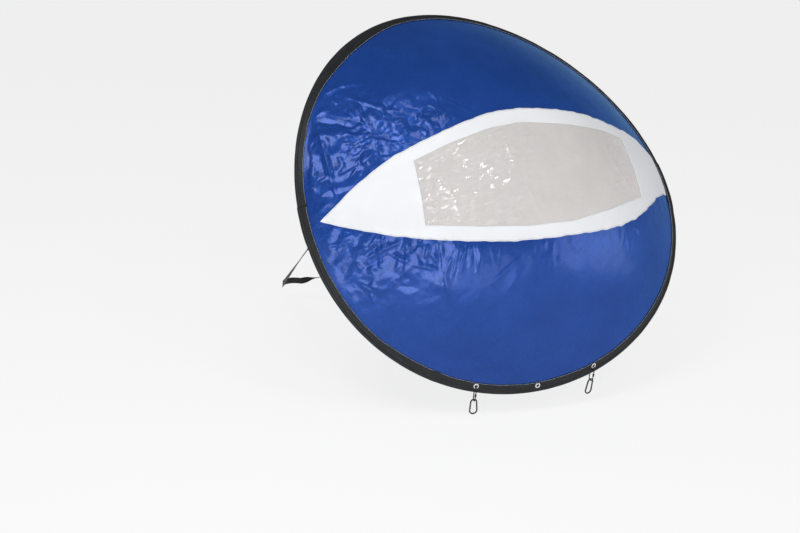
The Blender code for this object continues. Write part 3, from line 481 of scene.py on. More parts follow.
def grid_piece(name: str, places: Array, flat: Array, solid: bool = False) -> Piece:
    """Piece of a grid of points: columns on the first axis, rows on the second.

    Args:
        name: name of the piece.
        places: points, columns by rows by three.
        flat: UV places in metres, columns by rows by two.
        solid: merge the points that meet, close the open ends and face the shape outwards.

    Returns:
        The piece.
    """
    columns, rows = places.shape[:2]
    bm = bmesh.new()
    bm.loops.layers.uv.new("flat")
    bmesh.ops.create_grid(bm, x_segments=columns - 1, y_segments=rows - 1, size=0.5, calc_uvs=True)
    piece = add_piece(name, bm)
    mesh = piece.data
    spots = points_of(mesh)
    column = np.rint((spots[:, 0] + 0.5) * (columns - 1)).astype(int)
    row = np.rint((spots[:, 1] + 0.5) * (rows - 1)).astype(int)
    mesh.vertices.foreach_set("co", places[column, row].ravel())
    corners = np.empty(len(mesh.loops), dtype=np.int32)
    mesh.loops.foreach_get("vertex_index", corners)
    mesh.uv_layers[0].data.foreach_set("uv", flat[column[corners], row[corners]].ravel())
    if solid:
        bm = bmesh.new()
        bm.from_mesh(mesh)
        bmesh.ops.remove_doubles(bm, verts=bm.verts, dist=0.00002)
        bmesh.ops.holes_fill(bm, edges=[e for e in bm.edges if e.is_boundary], sides=0)
        bmesh.ops.recalc_face_normals(bm, faces=bm.faces)
        bm.to_mesh(mesh)
        bm.free()
        mesh.shade_smooth()
    return piece


def points_of(mesh: bpy.types.Mesh) -> Array:
    """Points of a mesh, one on each row."""
    spots = np.empty(len(mesh.vertices) * 3)
    mesh.vertices.foreach_get("co", spots)
    return spots.reshape(-1, 3)


def spread(across: Array, low: Array, high: Array, shares: Array) -> tuple[Array, Array]:
    """Places across and up of a grid whose columns run from a low to a high edge."""
    up = low[:, None] + (high - low)[:, None] * shares
    return np.repeat(across[:, None], up.shape[1], 1), up


def sheet_piece(name: str, across: Array, up: Array, rise: Array) -> Piece:
    """Sheet on the bowl at places across and up, raised towards the front."""
    return grid_piece(name, BOWL.point(across, up, rise), BOWL.flat(across, up))


def wall(piece: Piece, thickness: float, crumpled: Field | None = None) -> None:
    """Give a sheet its thickness, and store how crumpled it is at each point for its finish."""
    if crumpled is not None:
        spots = points_of(piece.data)
        lean = math.radians(BOWL.lean_deg)
        across = spots[:, 0] / BOWL.half_width
        up = (spots[:, 1] * math.sin(lean) + spots[:, 2] * math.cos(lean)) / BOWL.half_height - 1
        values = piece.data.attributes.new("crumple", "FLOAT", "POINT")
        values.data.foreach_set("value", crumpled(across, up).astype(np.float32))
    solid = piece.modifiers.new("wall", "SOLIDIFY")
    solid.thickness = thickness
    solid.offset = 0.0
    solid.use_even_offset = False


def sweep(name: str, line: Array, sides: Array, faces: Array, section: Array,
          closed: bool = False, sizes: Array | None = None) -> Piece:
    """Solid that carries a section along a line.

    Args:
        name: name of the piece.
        line: points of the line.
        sides: direction of the section's first axis at each point.
        faces: direction of its second axis.
        section: closed outline of the section, two numbers a point.
        closed: whether the line runs back into itself.
        sizes: size of the section at each point, as a share.

    Returns:
        The solid.
    """
    ring = np.vstack([section, section[:1]])
    scale = np.ones(len(line)) if sizes is None else sizes
    if closed:
        line, sides, faces = (np.vstack([a, a[:1]]) for a in (line, sides, faces))
        scale = np.append(scale, scale[:1])
    reach = ring[None] * scale[:, None, None]
    places = line[:, None] + sides[:, None] * reach[..., :1] + faces[:, None] * reach[..., 1:]
    flat = np.stack(np.broadcast_arrays(run_along(line)[:, None], run_along(ring)[None]), -1)
    return grid_piece(name, places, flat, solid=True)


def strip(name: str, line: Array, widths: Array, width: float, thick: float) -> Piece:
    """Webbing along a line, its width lying along given directions and its edges softly rounded."""
    w, t, soft = width / 2, thick / 2, 0.0004
    section = np.array([(w, t - soft), (w - soft, t), (-w + soft, t), (-w, t - soft),
                        (-w, -t + soft), (-w + soft, -t), (w - soft, -t), (w, -t + soft)])
    ahead = unit(np.vstack([line[1:2] - line[:1], line[2:] - line[:-2], line[-1:] - line[-2:-1]]))
    sides = square_to(ahead, widths)
    return sweep(name, line, sides, np.cross(ahead, sides), section)


def stitch_row(name: str, starts: Array, ends: Array, thread: float) -> Piece:
    """Row of short thread stitches, each a small rounded rod from a start to an end.

    Args:
        name: name of the row.
        starts: where each stitch starts.
        ends: where it ends.
        thread: radius of the thread.

    Returns:
        The row as one piece.
    """
    whole = bmesh.new()
    batch, least, share = 80, 1.2, 0.56
    for first in range(0, len(starts), batch):
        bm = bmesh.new()
        for start, end in zip(starts[first:first + batch], ends[first:first + batch]):
            line = Vector(end - start)
            size = Vector((1, 1, max(least, share * line.length / thread)))
            place = Matrix.LocRotScale(Vector((start + end) / 2), line.to_track_quat("Z", "Y"), size)
            bmesh.ops.create_uvsphere(bm, u_segments=5, v_segments=4, radius=thread, matrix=place)
        part = bpy.data.meshes.new("batch")
        bm.to_mesh(part)
        bm.free()
        whole.from_mesh(part)
        bpy.data.meshes.remove(part)
    return add_piece(name, whole)


# --- Finishes ----------------------------------------------------------------------------------


def opaque(colour: Triple) -> tuple[float, float, float, float]:
    """Colour with a full alpha."""
    return (*colour, 1.0)


class Graph:
    """Node tree of a material, world or group, with short ways to add and join nodes."""

    def __init__(self, tree: bpy.types.NodeTree) -> None:
        """Keep the tree."""
        self.tree = tree

    def put(self, node: bpy.types.Node, inputs: dict) -> bpy.types.Node:
        """Give a node's inputs, by name or number, their values or the sockets that feed them."""
        for key, value in inputs.items():
            if isinstance(value, Socket):
                self.tree.links.new(value, node.inputs[key])
            else:
                node.inputs[key].default_value = value
        return node

    def add(self, kind: str, inputs: dict | None = None, **settings: object) -> bpy.types.Node:
        """Add a node.

        Args:
            kind: node type, without its ShaderNode beginning.
            inputs: values or output sockets, by input name or number.
            settings: attributes of the node.

        Returns:
            The node.
        """
        node = self.tree.nodes.new("ShaderNode" + kind)
        for name, value in settings.items():
            setattr(node, name, value)
        return self.put(node, inputs or {})

    def sum(self, operation: str, *terms: object) -> Socket:
        """Result of a Math node on its terms."""
        return self.add("Math", dict(enumerate(terms)), operation=operation).outputs[0]

    def vector(self, operation: str, inputs: dict) -> Socket:
        """Result of a VectorMath node."""
        node = self.add("VectorMath", inputs, operation=operation)
        return node.outputs["Value" if operation == "DOT_PRODUCT" else "Vector"]

    def ramp(self, value: Socket, low: float, high: float, to_low: float = 0.0,
             to_high: float = 1.0) -> Socket:
        """Value carried from one range to another and held there."""
        ends = {0: value, 1: low, 2: high, 3: to_low, 4: to_high}
        return self.add("MapRange", ends, clamp=True).outputs[0]

    def blend(self, share: Socket, near: Triple, far: Triple) -> Socket:
        """Colour between two colours."""
        return self.add("Mix", {0: share, 6: opaque(near), 7: opaque(far)}, data_type="RGBA").outputs[2]

    def bump(self, height: Socket, distance: float, strength: float = 1.0,
             normal: Socket | None = None) -> Socket:
        """Normal of a height."""
        under = {} if normal is None else {"Normal": normal}
        return self.add("Bump", {"Height": height, "Distance": distance, "Strength": strength, **under}).outputs[0]

    def flat(self) -> Socket:
        """The piece's own flat places in metres."""
        return self.add("UVMap", uv_map="flat").outputs[0]

    def place(self) -> Socket:
        """Place in the piece's own space."""
        return self.add("TexCoord").outputs["Object"]


class Effects:
    """Node groups that several finishes share. Each takes a place and a size."""

    def __init__(self) -> None:
        """Build each group once."""
        self._trees = {kind: self._group(kind, outs, fill) for kind, outs, fill in (
            ("weave", ("Height", "Thread"), self._weave), ("crinkle", ("Height",), self._crinkle),
            ("wear", ("Mask", "Fine"), self._wear))}

    @staticmethod
    def _group(name: str, outs: Sequence[str], fill: Callable) -> bpy.types.NodeTree:
        """Node group that takes a place and a size.

        Args:
            name: name of the group.
            outs: names of its outputs.
            fill: adds the nodes, and gives the sockets of the outputs.

        Returns:
            The group.
        """
        tree = bpy.data.node_groups.new(name, "ShaderNodeTree")
        for label, kind in (("Place", "Vector"), ("Size", "Float")):
            tree.interface.new_socket(label, in_out="INPUT", socket_type="NodeSocket" + kind)
        for label in outs:
            tree.interface.new_socket(label, in_out="OUTPUT", socket_type="NodeSocketFloat")
        source, target = tree.nodes.new("NodeGroupInput"), tree.nodes.new("NodeGroupOutput")
        for socket, label in zip(fill(Graph(tree), source.outputs["Place"], source.outputs["Size"]), outs):
            tree.links.new(socket, target.inputs[label])
        return tree

    def use(self, kind: str, graph: Graph, size: float) -> list[Socket]:
        """Outputs of an effect at a size: a weave on the piece's flat places, the others in its own space."""
        place = graph.flat() if kind == "weave" else graph.place()
        return list(graph.add("Group", {"Place": place, "Size": size}, node_tree=self._trees[kind]).outputs)

    def creased(self, graph: Graph, broad: float, fine: float, share: float, least: float) -> Socket:
        """Crinkles of two sizes, strongest where the sheet is crumpled.

        Args:
            graph: graph of the material.
            broad: size of the larger crinkles.
            fine: size of the smaller ones.
            share: height of the smaller ones.
            least: what is left of both on smooth cloth.

        Returns:
            Their height.
        """
        crumpled = graph.add("Attribute", attribute_name="crumple", attribute_type="GEOMETRY").outputs["Fac"]
        heights = [self.use("crinkle", graph, size)[0] for size in (fine, broad)]
        height = graph.sum("MULTIPLY_ADD", heights[0], share, heights[1])
        return graph.sum("MULTIPLY", height, graph.ramp(crumpled, 0.0, 1.0, least, 1.0))

    @staticmethod
    def _weave(graph: Graph, place: Socket, size: Socket) -> tuple:
        """Over and under of a plain weave, and a little difference from thread to thread."""
        parts = graph.add("SeparateXYZ", {0: place})
        turn = graph.sum("DIVIDE", math.pi, size)
        waves = [graph.sum("SINE", graph.sum("MULTIPLY", parts.outputs[i], turn)) for i in (0, 1)]
        crossing = graph.sum("MULTIPLY", *waves)
        ridge = graph.sum("ADD", *(graph.sum("ABSOLUTE", wave) for wave in waves))
        height = graph.sum("MULTIPLY_ADD", ridge, 0.35, graph.sum("MULTIPLY", crossing, 0.5))
        steps = graph.vector("SCALE", {0: place, 3: graph.sum("DIVIDE", 0.5, size)})
        return height, graph.add("TexNoise", {"Vector": steps, "Scale": 0.6, "Detail": 1.0}).outputs[0]

    @staticmethod
    def _crinkle(graph: Graph, place: Socket, size: Socket) -> tuple:
        """Small creased facets of stiff coated cloth or film."""
        scaled = graph.vector("SCALE", {0: place, 3: graph.sum("DIVIDE", 1.0, size)})
        drift = graph.add("TexNoise", {"Vector": scaled, "Scale": 0.7, "Detail": 1.0}).outputs[1]
        moved = graph.vector("MULTIPLY_ADD", {0: drift, 1: (1.3, 1.3, 1.3), 2: scaled})
        heights = []
        for finer in (1.0, 2.3):
            spot = graph.vector("SCALE", {0: moved, 3: finer})
            cell = graph.add("TexVoronoi", {"Vector": spot, "Scale": 1.0}, feature="F1")
            tilt = graph.vector("SUBTRACT", {0: cell.outputs["Color"], 1: (0.5, 0.5, 0.5)})
            away = graph.vector("SUBTRACT", {0: spot, 1: cell.outputs["Position"]})
            heights.append(graph.sum("DIVIDE", graph.vector("DOT_PRODUCT", {0: tilt, 1: away}), finer))
        return (graph.sum("ADD", *heights),)

    @staticmethod
    def _wear(graph: Graph, place: Socket, size: Socket) -> tuple:
        """Uneven patches for dirt, fading and rub marks."""
        scaled = graph.vector("SCALE", {0: place, 3: graph.sum("DIVIDE", 1.0, size)})
        broad, fine = (graph.add("TexNoise", {"Vector": scaled, "Scale": scale, "Detail": detail, "Roughness": rough})
                       for scale, detail, rough in ((1.0, 4.0, 0.6), (9.0, 3.0, 0.7)))
        return graph.ramp(broad.outputs[0], 0.38, 0.68), graph.ramp(fine.outputs[0], 0.35, 0.7)


@dataclass(frozen=True)
class Finish:
    """A material with one Principled shader."""

    name: str

    def inputs(self, graph: Graph, effects: Effects) -> dict:
        """Values or sockets of the shader's inputs."""
        raise NotImplementedError

    def make(self, effects: Effects) -> bpy.types.Material:
        """Make the material."""
        material = bpy.data.materials.new(self.name)
        material.use_nodes = True
        graph = Graph(material.node_tree)
        graph.put(material.node_tree.nodes["Principled BSDF"], self.inputs(graph, effects))
        return material


@dataclass(frozen=True)
class CoatedCloth(Finish):
    """Thin woven cloth with a glossy coating that creases like paper."""

    deep: Triple
    pale: Triple
    sheen: Triple
    roughness: float = 0.25
    crinkle: float = 0.0015
    metallic: float = 0.30
    coat: float = 0.12
    weave: float = 0.00003

    def inputs(self, graph: Graph, effects: Effects) -> dict:
        """Values or sockets of the shader's inputs."""
        mask, fine = effects.use("wear", graph, 0.16)
        normal = graph.bump(effects.creased(graph, 0.024, 0.008, 0.4, 0.10), self.crinkle)
        return {
            "Base Color": graph.blend(mask, self.deep, self.pale),
            "Roughness": graph.ramp(fine, 0.0, 1.0, self.roughness - 0.05, self.roughness + 0.08),
            "Normal": graph.bump(effects.use("weave", graph, 0.0007)[0], self.weave, 0.6, normal),
            "Specular Tint": opaque(self.sheen), "Specular IOR Level": 0.0, "Metallic": self.metallic,
            "Coat Weight": self.coat, "Coat IOR": 2.2, "Coat Roughness": 0.18,
        }


@dataclass(frozen=True)
class ClearFilm(Finish):
    """Soft clear film, a little milky, creased where the sail folds."""

    tint: Triple = (0.75, 0.722, 0.709)
    dim: float = 0.96
    depth: float = 0.0022

    def inputs(self, graph: Graph, effects: Effects) -> dict:
        """Values or sockets of the shader's inputs."""
        mask, fine = effects.use("wear", graph, 0.07)
        return {
            "Base Color": graph.blend(mask, self.tint, tuple(c * self.dim for c in self.tint)),
            "Roughness": graph.ramp(fine, 0.0, 1.0, 0.05, 0.10),
            "Normal": graph.bump(effects.creased(graph, 0.030, 0.011, 0.35, 0.05), self.depth),
            "Transmission Weight": 0.45, "IOR": 1.35, "Coat Weight": 0.8, "Coat Roughness": 0.03,
        }


@dataclass(frozen=True)
class BlackWeave(Finish):
    """Black woven textile: binding cloth or webbing, with lighter streaks painted along its length as sheen."""

    colour: Triple
    # Lighter colour that random wear, thread-to-thread tone and the painted sheen streaks blend towards.
    worn: Triple
    pitch: float
    depth: float = 0.00012
    ribs: float = 0.0
    sheen_streak: float = 0.35

    def inputs(self, graph: Graph, effects: Effects) -> dict:
        """Values or sockets of the shader's inputs."""
        height, thread = effects.use("weave", graph, self.pitch)
        mask, fine = effects.use("wear", graph, 0.05)
        # Painted sheen: lighter streaks along the cloth's length stand in for highlights along it; random wear and
        # thread-to-thread tone are added to them.
        drawn = graph.add("Mapping", {"Vector": graph.flat(), "Scale": (14.0, 160.0, 1.0)}).outputs[0]
        streaks = graph.add("TexNoise", {"Vector": drawn, "Scale": 1.0, "Detail": 3.0}).outputs[0]
        share = graph.sum("MULTIPLY", graph.ramp(streaks, 0.45, 0.75), self.sheen_streak)
        share = graph.sum("MULTIPLY_ADD", fine, 0.25, share)
        share = graph.sum("MULTIPLY_ADD", thread, 0.2, share)
        normal = graph.bump(height, self.depth)
        if self.ribs:
            along = graph.add("SeparateXYZ", {0: graph.flat()}).outputs[0]
            rib = graph.sum("SINE", graph.sum("MULTIPLY", along, 2 * math.pi / self.ribs))
            normal = graph.bump(rib, self.depth * 1.5, 1.0, normal)
        return {
            "Base Color": graph.blend(share, self.colour, self.worn), "Normal": normal,
            "Roughness": graph.ramp(mask, 0.0, 1.0, 0.50, 0.66), "Specular IOR Level": 0.03,
            "Coat Weight": 0.15, "Coat IOR": 2.0, "Coat Roughness": 0.42,
        }


@dataclass(frozen=True)
class BraidedCord(Finish):
    """Braided black cord."""

    colour: Triple = (0.018, 0.018, 0.020)
    worn: Triple = (0.075, 0.076, 0.080)
    pitch: float = 0.0022
    slant: float = 1.4
    depth: float = 0.00018

    def inputs(self, graph: Graph, effects: Effects) -> dict:
        """Values or sockets of the shader's inputs."""
        parts = graph.add("SeparateXYZ", {0: graph.flat()})
        turn = 2 * math.pi / self.pitch
        along = graph.sum("MULTIPLY", parts.outputs[0], turn)
        height = graph.sum("MAXIMUM", *(
            graph.sum("SINE", graph.sum("MULTIPLY_ADD", parts.outputs[1], turn * way, along))
            for way in (self.slant, -self.slant)))
        rubbed = graph.ramp(effects.use("wear", graph, 0.01)[0], 0.0, 1.0, 0.3, 0.9)
        share = graph.sum("MULTIPLY", graph.ramp(height, 0.2, 1.0), rubbed)
        return {"Base Color": graph.blend(share, self.colour, self.worn), "Normal": graph.bump(height, self.depth),
                "Roughness": 0.62, "Specular IOR Level": 0.2}


@dataclass(frozen=True)
class Metal(Finish):
    """Plated or anodised metal, rubbed in places."""

    colour: Triple
    worn: Triple
    roughness: float
    metallic: float = 1.0

    def inputs(self, graph: Graph, effects: Effects) -> dict:
        """Values or sockets of the shader's inputs."""
        mask, fine = effects.use("wear", graph, 0.006)
        share = graph.sum("MULTIPLY", mask, graph.ramp(fine, 0.0, 1.0, 0.3, 0.8))
        return {"Base Color": graph.blend(share, self.colour, self.worn), "Metallic": self.metallic,
                "Roughness": graph.ramp(fine, 0.0, 1.0, self.roughness - 0.06, self.roughness + 0.1),
                "Normal": graph.bump(fine, 0.00003, 0.5)}


@dataclass(frozen=True)
class Thread(Finish):
    """Sewing thread, twisted."""

    colour: Triple
    dim: float = 0.72

    def inputs(self, graph: Graph, effects: Effects) -> dict:
        """Values or sockets of the shader's inputs."""
        mask, fine = effects.use("wear", graph, 0.004)
        return {"Base Color": graph.blend(mask, self.colour, tuple(c * self.dim for c in self.colour)),
                "Normal": graph.bump(fine, 0.00005, 0.6), "Roughness": 0.7}


@dataclass(frozen=True)
class GlassFibre(Finish):
    """Drawn glass fibre rod with fine fibres along it."""

    colour: Triple = (0.72, 0.68, 0.56)
    pale: Triple = (0.82, 0.80, 0.72)

    def inputs(self, graph: Graph, effects: Effects) -> dict:
        """Values or sockets of the shader's inputs."""
        fine = effects.use("wear", graph, 0.02)[1]
        return {"Base Color": graph.blend(fine, self.colour, self.pale),
                "Normal": graph.bump(fine, 0.00002, 0.5), "Roughness": 0.38}


FINISHES: dict[str, Finish] = {
    "blue_cloth": CoatedCloth("coated_cloth_blue", (0.0085, 0.049, 0.256), (0.0120, 0.060, 0.304),
                              (0.12, 0.72, 1.0)),
    "white_cloth": CoatedCloth("coated_cloth_white", (0.735, 0.752, 0.778), (0.77, 0.782, 0.804),
                               (1.0, 1.0, 1.0), 0.42, 0.0005, 0.0, 0.10),
    "clear_film": ClearFilm("window_film"),
    # The black weaves' lighter colour takes random wear and painted sheen streaks.
    "sleeve_cloth": BlackWeave("sleeve_cloth", (0.006, 0.0065, 0.0075), (0.034, 0.036, 0.040), 0.0009),
    "webbing": BlackWeave("webbing", (0.006, 0.006, 0.007), (0.030, 0.031, 0.034), 0.0012, ribs=0.0024, sheen_streak=0.2),
    "loop_cord": BraidedCord("loop_cord"),
    "eyelet_metal": Metal("eyelet_metal", (0.66, 0.66, 0.66), (0.50, 0.49, 0.47), 0.24),
    "plated_steel": Metal("plated_steel", (0.60, 0.61, 0.62), (0.45, 0.45, 0.45), 0.32),
    "clip_black": Metal("clip_black", (0.018, 0.018, 0.020), (0.16, 0.16, 0.16), 0.36, 0.5),
    "gate_black": Metal("gate_black", (0.022, 0.022, 0.025), (0.18, 0.18, 0.18), 0.33, 0.5),
    "glass_fibre": GlassFibre("glass_fibre"),
    "pale": Thread("thread_pale", (0.55, 0.62, 0.76)),
    "navy": Thread("thread_navy", (0.03, 0.06, 0.20)),
    "white": Thread("thread_white", (0.80, 0.82, 0.85)),
    "black": Thread("thread_black", (0.03, 0.03, 0.033)),
}


class Dresser:
    """Gives each piece its finish, body and slot. A finish is named by the record's slot or its thread."""

    def __init__(self) -> None:
        """Make every finish once."""
        effects = Effects()
        self._made = {key: finish.make(effects) for key, finish in FINISHES.items()}

    def dress(self, piece: Piece, slot: str, *nodes: str, body: str = ROOT_BODY, thread: str = "") -> None:
        """Finish a piece, let it ride on its body and stand for its CAD nodes.

        Args:
            piece: the piece.
            slot: the record's material slot.
            nodes: CAD nodes that it replaces.
            body: body that it rides on.
            thread: colour of its thread, if it is one.
        """
        piece.data.materials.clear()
        piece.data.materials.append(self._made[thread or slot])
        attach(piece, body)
        if nodes:
            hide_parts(*nodes)
        LOG.info("%s: %d faces on %s", piece.name, len(piece.data.polygons), body)

    def sew(self, name: str, starts: Array, ends: Array, radius: float, thread: str, slot: str) -> None:
        """Row of stitches of one thread in the cloth of a slot."""
        self.dress(stitch_row(name, starts, ends, radius), slot, thread=thread)

    def keep(self, nodes: dict) -> None:
        """Finish the CAD pieces whose shape is right, in their own material slots."""
        slots = {"hoop_rod": "glass_fibre", "hoop_ferrule": "plated_steel"}
        slots |= {"eyelet_washer_" + word: "eyelet_metal" for word in ("left", "centre", "right")}
        for name, slot in (("clip_body_", "clip_black"), ("gate_", "gate_black"), ("gate_pin_", "plated_steel"),
                           ("gate_spring_", "plated_steel")):
            slots |= {name + side.word: slot for side in Side}
        for name, slot in slots.items():
            materials = nodes[name].data.materials
            if not materials:
                materials.append(self._made[slot])
            for i in range(len(materials)):
                materials[i] = self._made[slot]
            LOG.info("%s: dressed", name)


# --- Sub-assemblies ----------------------------------------------------------------------------


@dataclass(frozen=True)
class SideLoops:
    """Webbing loop sewn to the back of the sleeve at each side, for the control tape."""

    at_deg: float = -9.8
    width: float = 0.012
    thick: float = 0.0015
    flat: float = 0.026
    ramp: float = 0.010
    sewn: float = 0.012
    rise: float = 0.0052
    inset: float = 0.0125
    seat: float = 0.0003
    lift: float = 0.0034
    tack: float = 0.0012
    tack_inset: float = 0.003
    tack_count: int = 9
    tack_thread: float = 0.0003

    def frame(self, side: Side, shift: float = 0.0) -> tuple[Array, Array, Array, Array]:
        """Back of the sleeve at a side loop: place, outward, along and back directions."""
        angle = self.at_deg if side is Side.RIGHT else 180 - self.at_deg
        angle += math.degrees(shift / BOWL.half_width)
        _, outward, along, front = BOWL.rim(np.array(angle))
        place = BOWL.inset(np.array(angle), np.array(self.inset)) - front * (self.lift + self.thick / 2)
        return place, outward, along, -front

    def build(self, dresser: Dresser) -> None:
        """Make both loops and the bar tacks that hold their ends."""
        flat, foot = self.flat / 2, self.flat / 2 + self.ramp
        end = foot + self.sewn
        half = ((flat - 0.003, 1.0), (flat, 0.94), ((foot + flat) / 2, 0.5), (foot, 0.06), (foot + 0.002, 0.0),
                (end, 0.0))
        steps = [(-shift, rise) for shift, rise in reversed(half)] + [(0.0, 1.0), *half]
        for side in Side:
            line, widths = [], []
            for shift, rise in steps:
                place, outward, _, back = self.frame(side, shift)
                line.append(place + back * (self.seat + self.rise * rise))
                widths.append(outward)
            loop = strip("side_loop_webbing_" + side.word, np.array(line), np.array(widths), self.width, self.thick)
            dresser.dress(loop, "webbing", "side_loop_" + side.word)
            self._tacks(side, foot, end, dresser)

    def _tacks(self, side: Side, foot: float, end: float, dresser: Dresser) -> None:
        """Two bar tacks in each sewn end of a loop."""
        starts, ends = [], []
        for shift in (-end + self.tack_inset, -foot - self.tack_inset, foot + self.tack_inset, end - self.tack_inset):
            place, outward, along, back = self.frame(side, shift)
            for i in range(self.tack_count):
                over = self.seat + self.thick / 2 + 0.0001
                spot = place + back * over + outward * (i - self.tack_count // 2) * self.tack
                starts.append(spot - along * self.tack)
                ends.append(spot + along * self.tack + outward * self.tack / 2)
        dresser.sew("bar_tacks_" + side.word, np.array(starts), np.array(ends), self.tack_thread, "black", "webbing")


@dataclass(frozen=True)
class ControlTape:
    """Flat webbing tape from one side loop back to the hand and on to the other side loop."""

    width: float = 0.020
    thick: float = 0.0015
    tail: float = 0.045
    tail_join: float = 0.026
    bight_centre: Triple = (-0.2575, 1.0350, 0.0050)
    bight_radius: float = 0.045
    bight_steps: int = 12
    edge_on: Triple = (0.74, 0.0, 0.67)
    far_edge_on: Triple = (0.63, 0.75, -0.20)
    turned_at: float = 0.11
    far_turned_at: float = 0.045
    far_turned_to: float = 0.8
    gap: float = 0.0003

    def bight_turn(self, point: Array, side: Side) -> float:
        """Angle on the bight at which the leg of a side, coming from a point, touches it."""
        away = point[:2] - np.array(self.bight_centre)[:2]
        swing = math.acos(self.bight_radius / np.linalg.norm(away))
        return math.atan2(away[1], away[0]) + side.value * swing

    def on_bight(self, turn: float) -> Array:
        """Point of the bight at an angle."""
        return np.array(self.bight_centre) + np.array((math.cos(turn), math.sin(turn), 0)) * self.bight_radius

    def eye(self, side: Side, loops: SideLoops) -> tuple[Array, Array]:
        """Tape from its sewn tail round a side loop and off: its points and its width's direction."""
        place, outward, along, back = loops.frame(side)
        base = place + back * (loops.seat + loops.rise)
        leg = unit(self.on_bight(self.bight_turn(place, side)) - base)
        beyond = square_to(leg, outward)
        half = loops.width / 2
        clear = loops.thick / 2 + self.gap + self.thick / 2
        points = [base + beyond * (self.thick + self.gap) + leg * z for z in (self.tail, self.tail_join)]
        quarter = [math.pi / 2 * i / 5 for i in range(6)]
        points += [base + outward * (half + clear * math.cos(t)) - back * clear * math.sin(t) for t in quarter]
        points += [base - outward * (half + clear * math.sin(t)) - back * clear * math.cos(t) for t in quarter]
        points += [base + leg * self.tail_join, base + leg * self.tail]
        return np.array(points), along * (1 if along[2] > 0 else -1)

    @staticmethod
    def between(share: float, stops: Sequence[tuple[float, Array]]) -> Array:
        """Width direction at a share of a leg, turned from one stop to the next."""
        for (s0, near), (s1, far) in zip(stops, stops[1:]):
            if share <= s1:
                return unit(near + (far - near) * (share - s0) / (s1 - s0))
        return stops[-1][1]

    def build(self, loops: SideLoops, dresser: Dresser) -> None:
        """Make the tape: its free run, and the folded eye at each end of it."""
        (left, left_width), (right, right_width) = (self.eye(side, loops) for side in Side)
        start = self.bight_turn(left[-1], Side.LEFT) + 2 * math.pi
        stop = self.bight_turn(right[-1], Side.RIGHT)
        steps = self.bight_steps
        bight = np.array([self.on_bight(start + (stop - start) * i / steps) for i in range(steps + 1)])
        near = np.linspace(0, 1, 11)[:-1]
        far = np.append(np.linspace(0, self.far_turned_at, 6)[1:], np.linspace(0.1, 1, 10))
        line = np.vstack([left[-1] + (bight[0] - left[-1]) * near[:, None], bight,
                          bight[-1] + (right[-1] - bight[-1]) * far[:, None]])
        edge, far_edge = unit(np.array(self.edge_on)), unit(np.array(self.far_edge_on))
        stops = ((0, left_width), (self.turned_at, edge), (1, LEVEL))
        far_stops = ((0, LEVEL), (self.far_turned_at, far_edge), (self.far_turned_to, far_edge), (1, right_width))
        widths = [self.between(s, stops) for s in near] + [LEVEL] * len(bight)
        widths += [self.between(s, far_stops) for s in far]
        run = strip("control_tape_webbing", line, np.array(widths), self.width, self.thick)
        eyes = [strip("tape_eye_" + side.word, points, np.array([width] * len(points)), self.width, self.thick)
                for side, points, width in ((Side.LEFT, left, left_width), (Side.RIGHT, right, right_width))]
        dresser.dress(run, "webbing", "control_tape")
        for piece in eyes:
            dresser.dress(piece, "webbing")


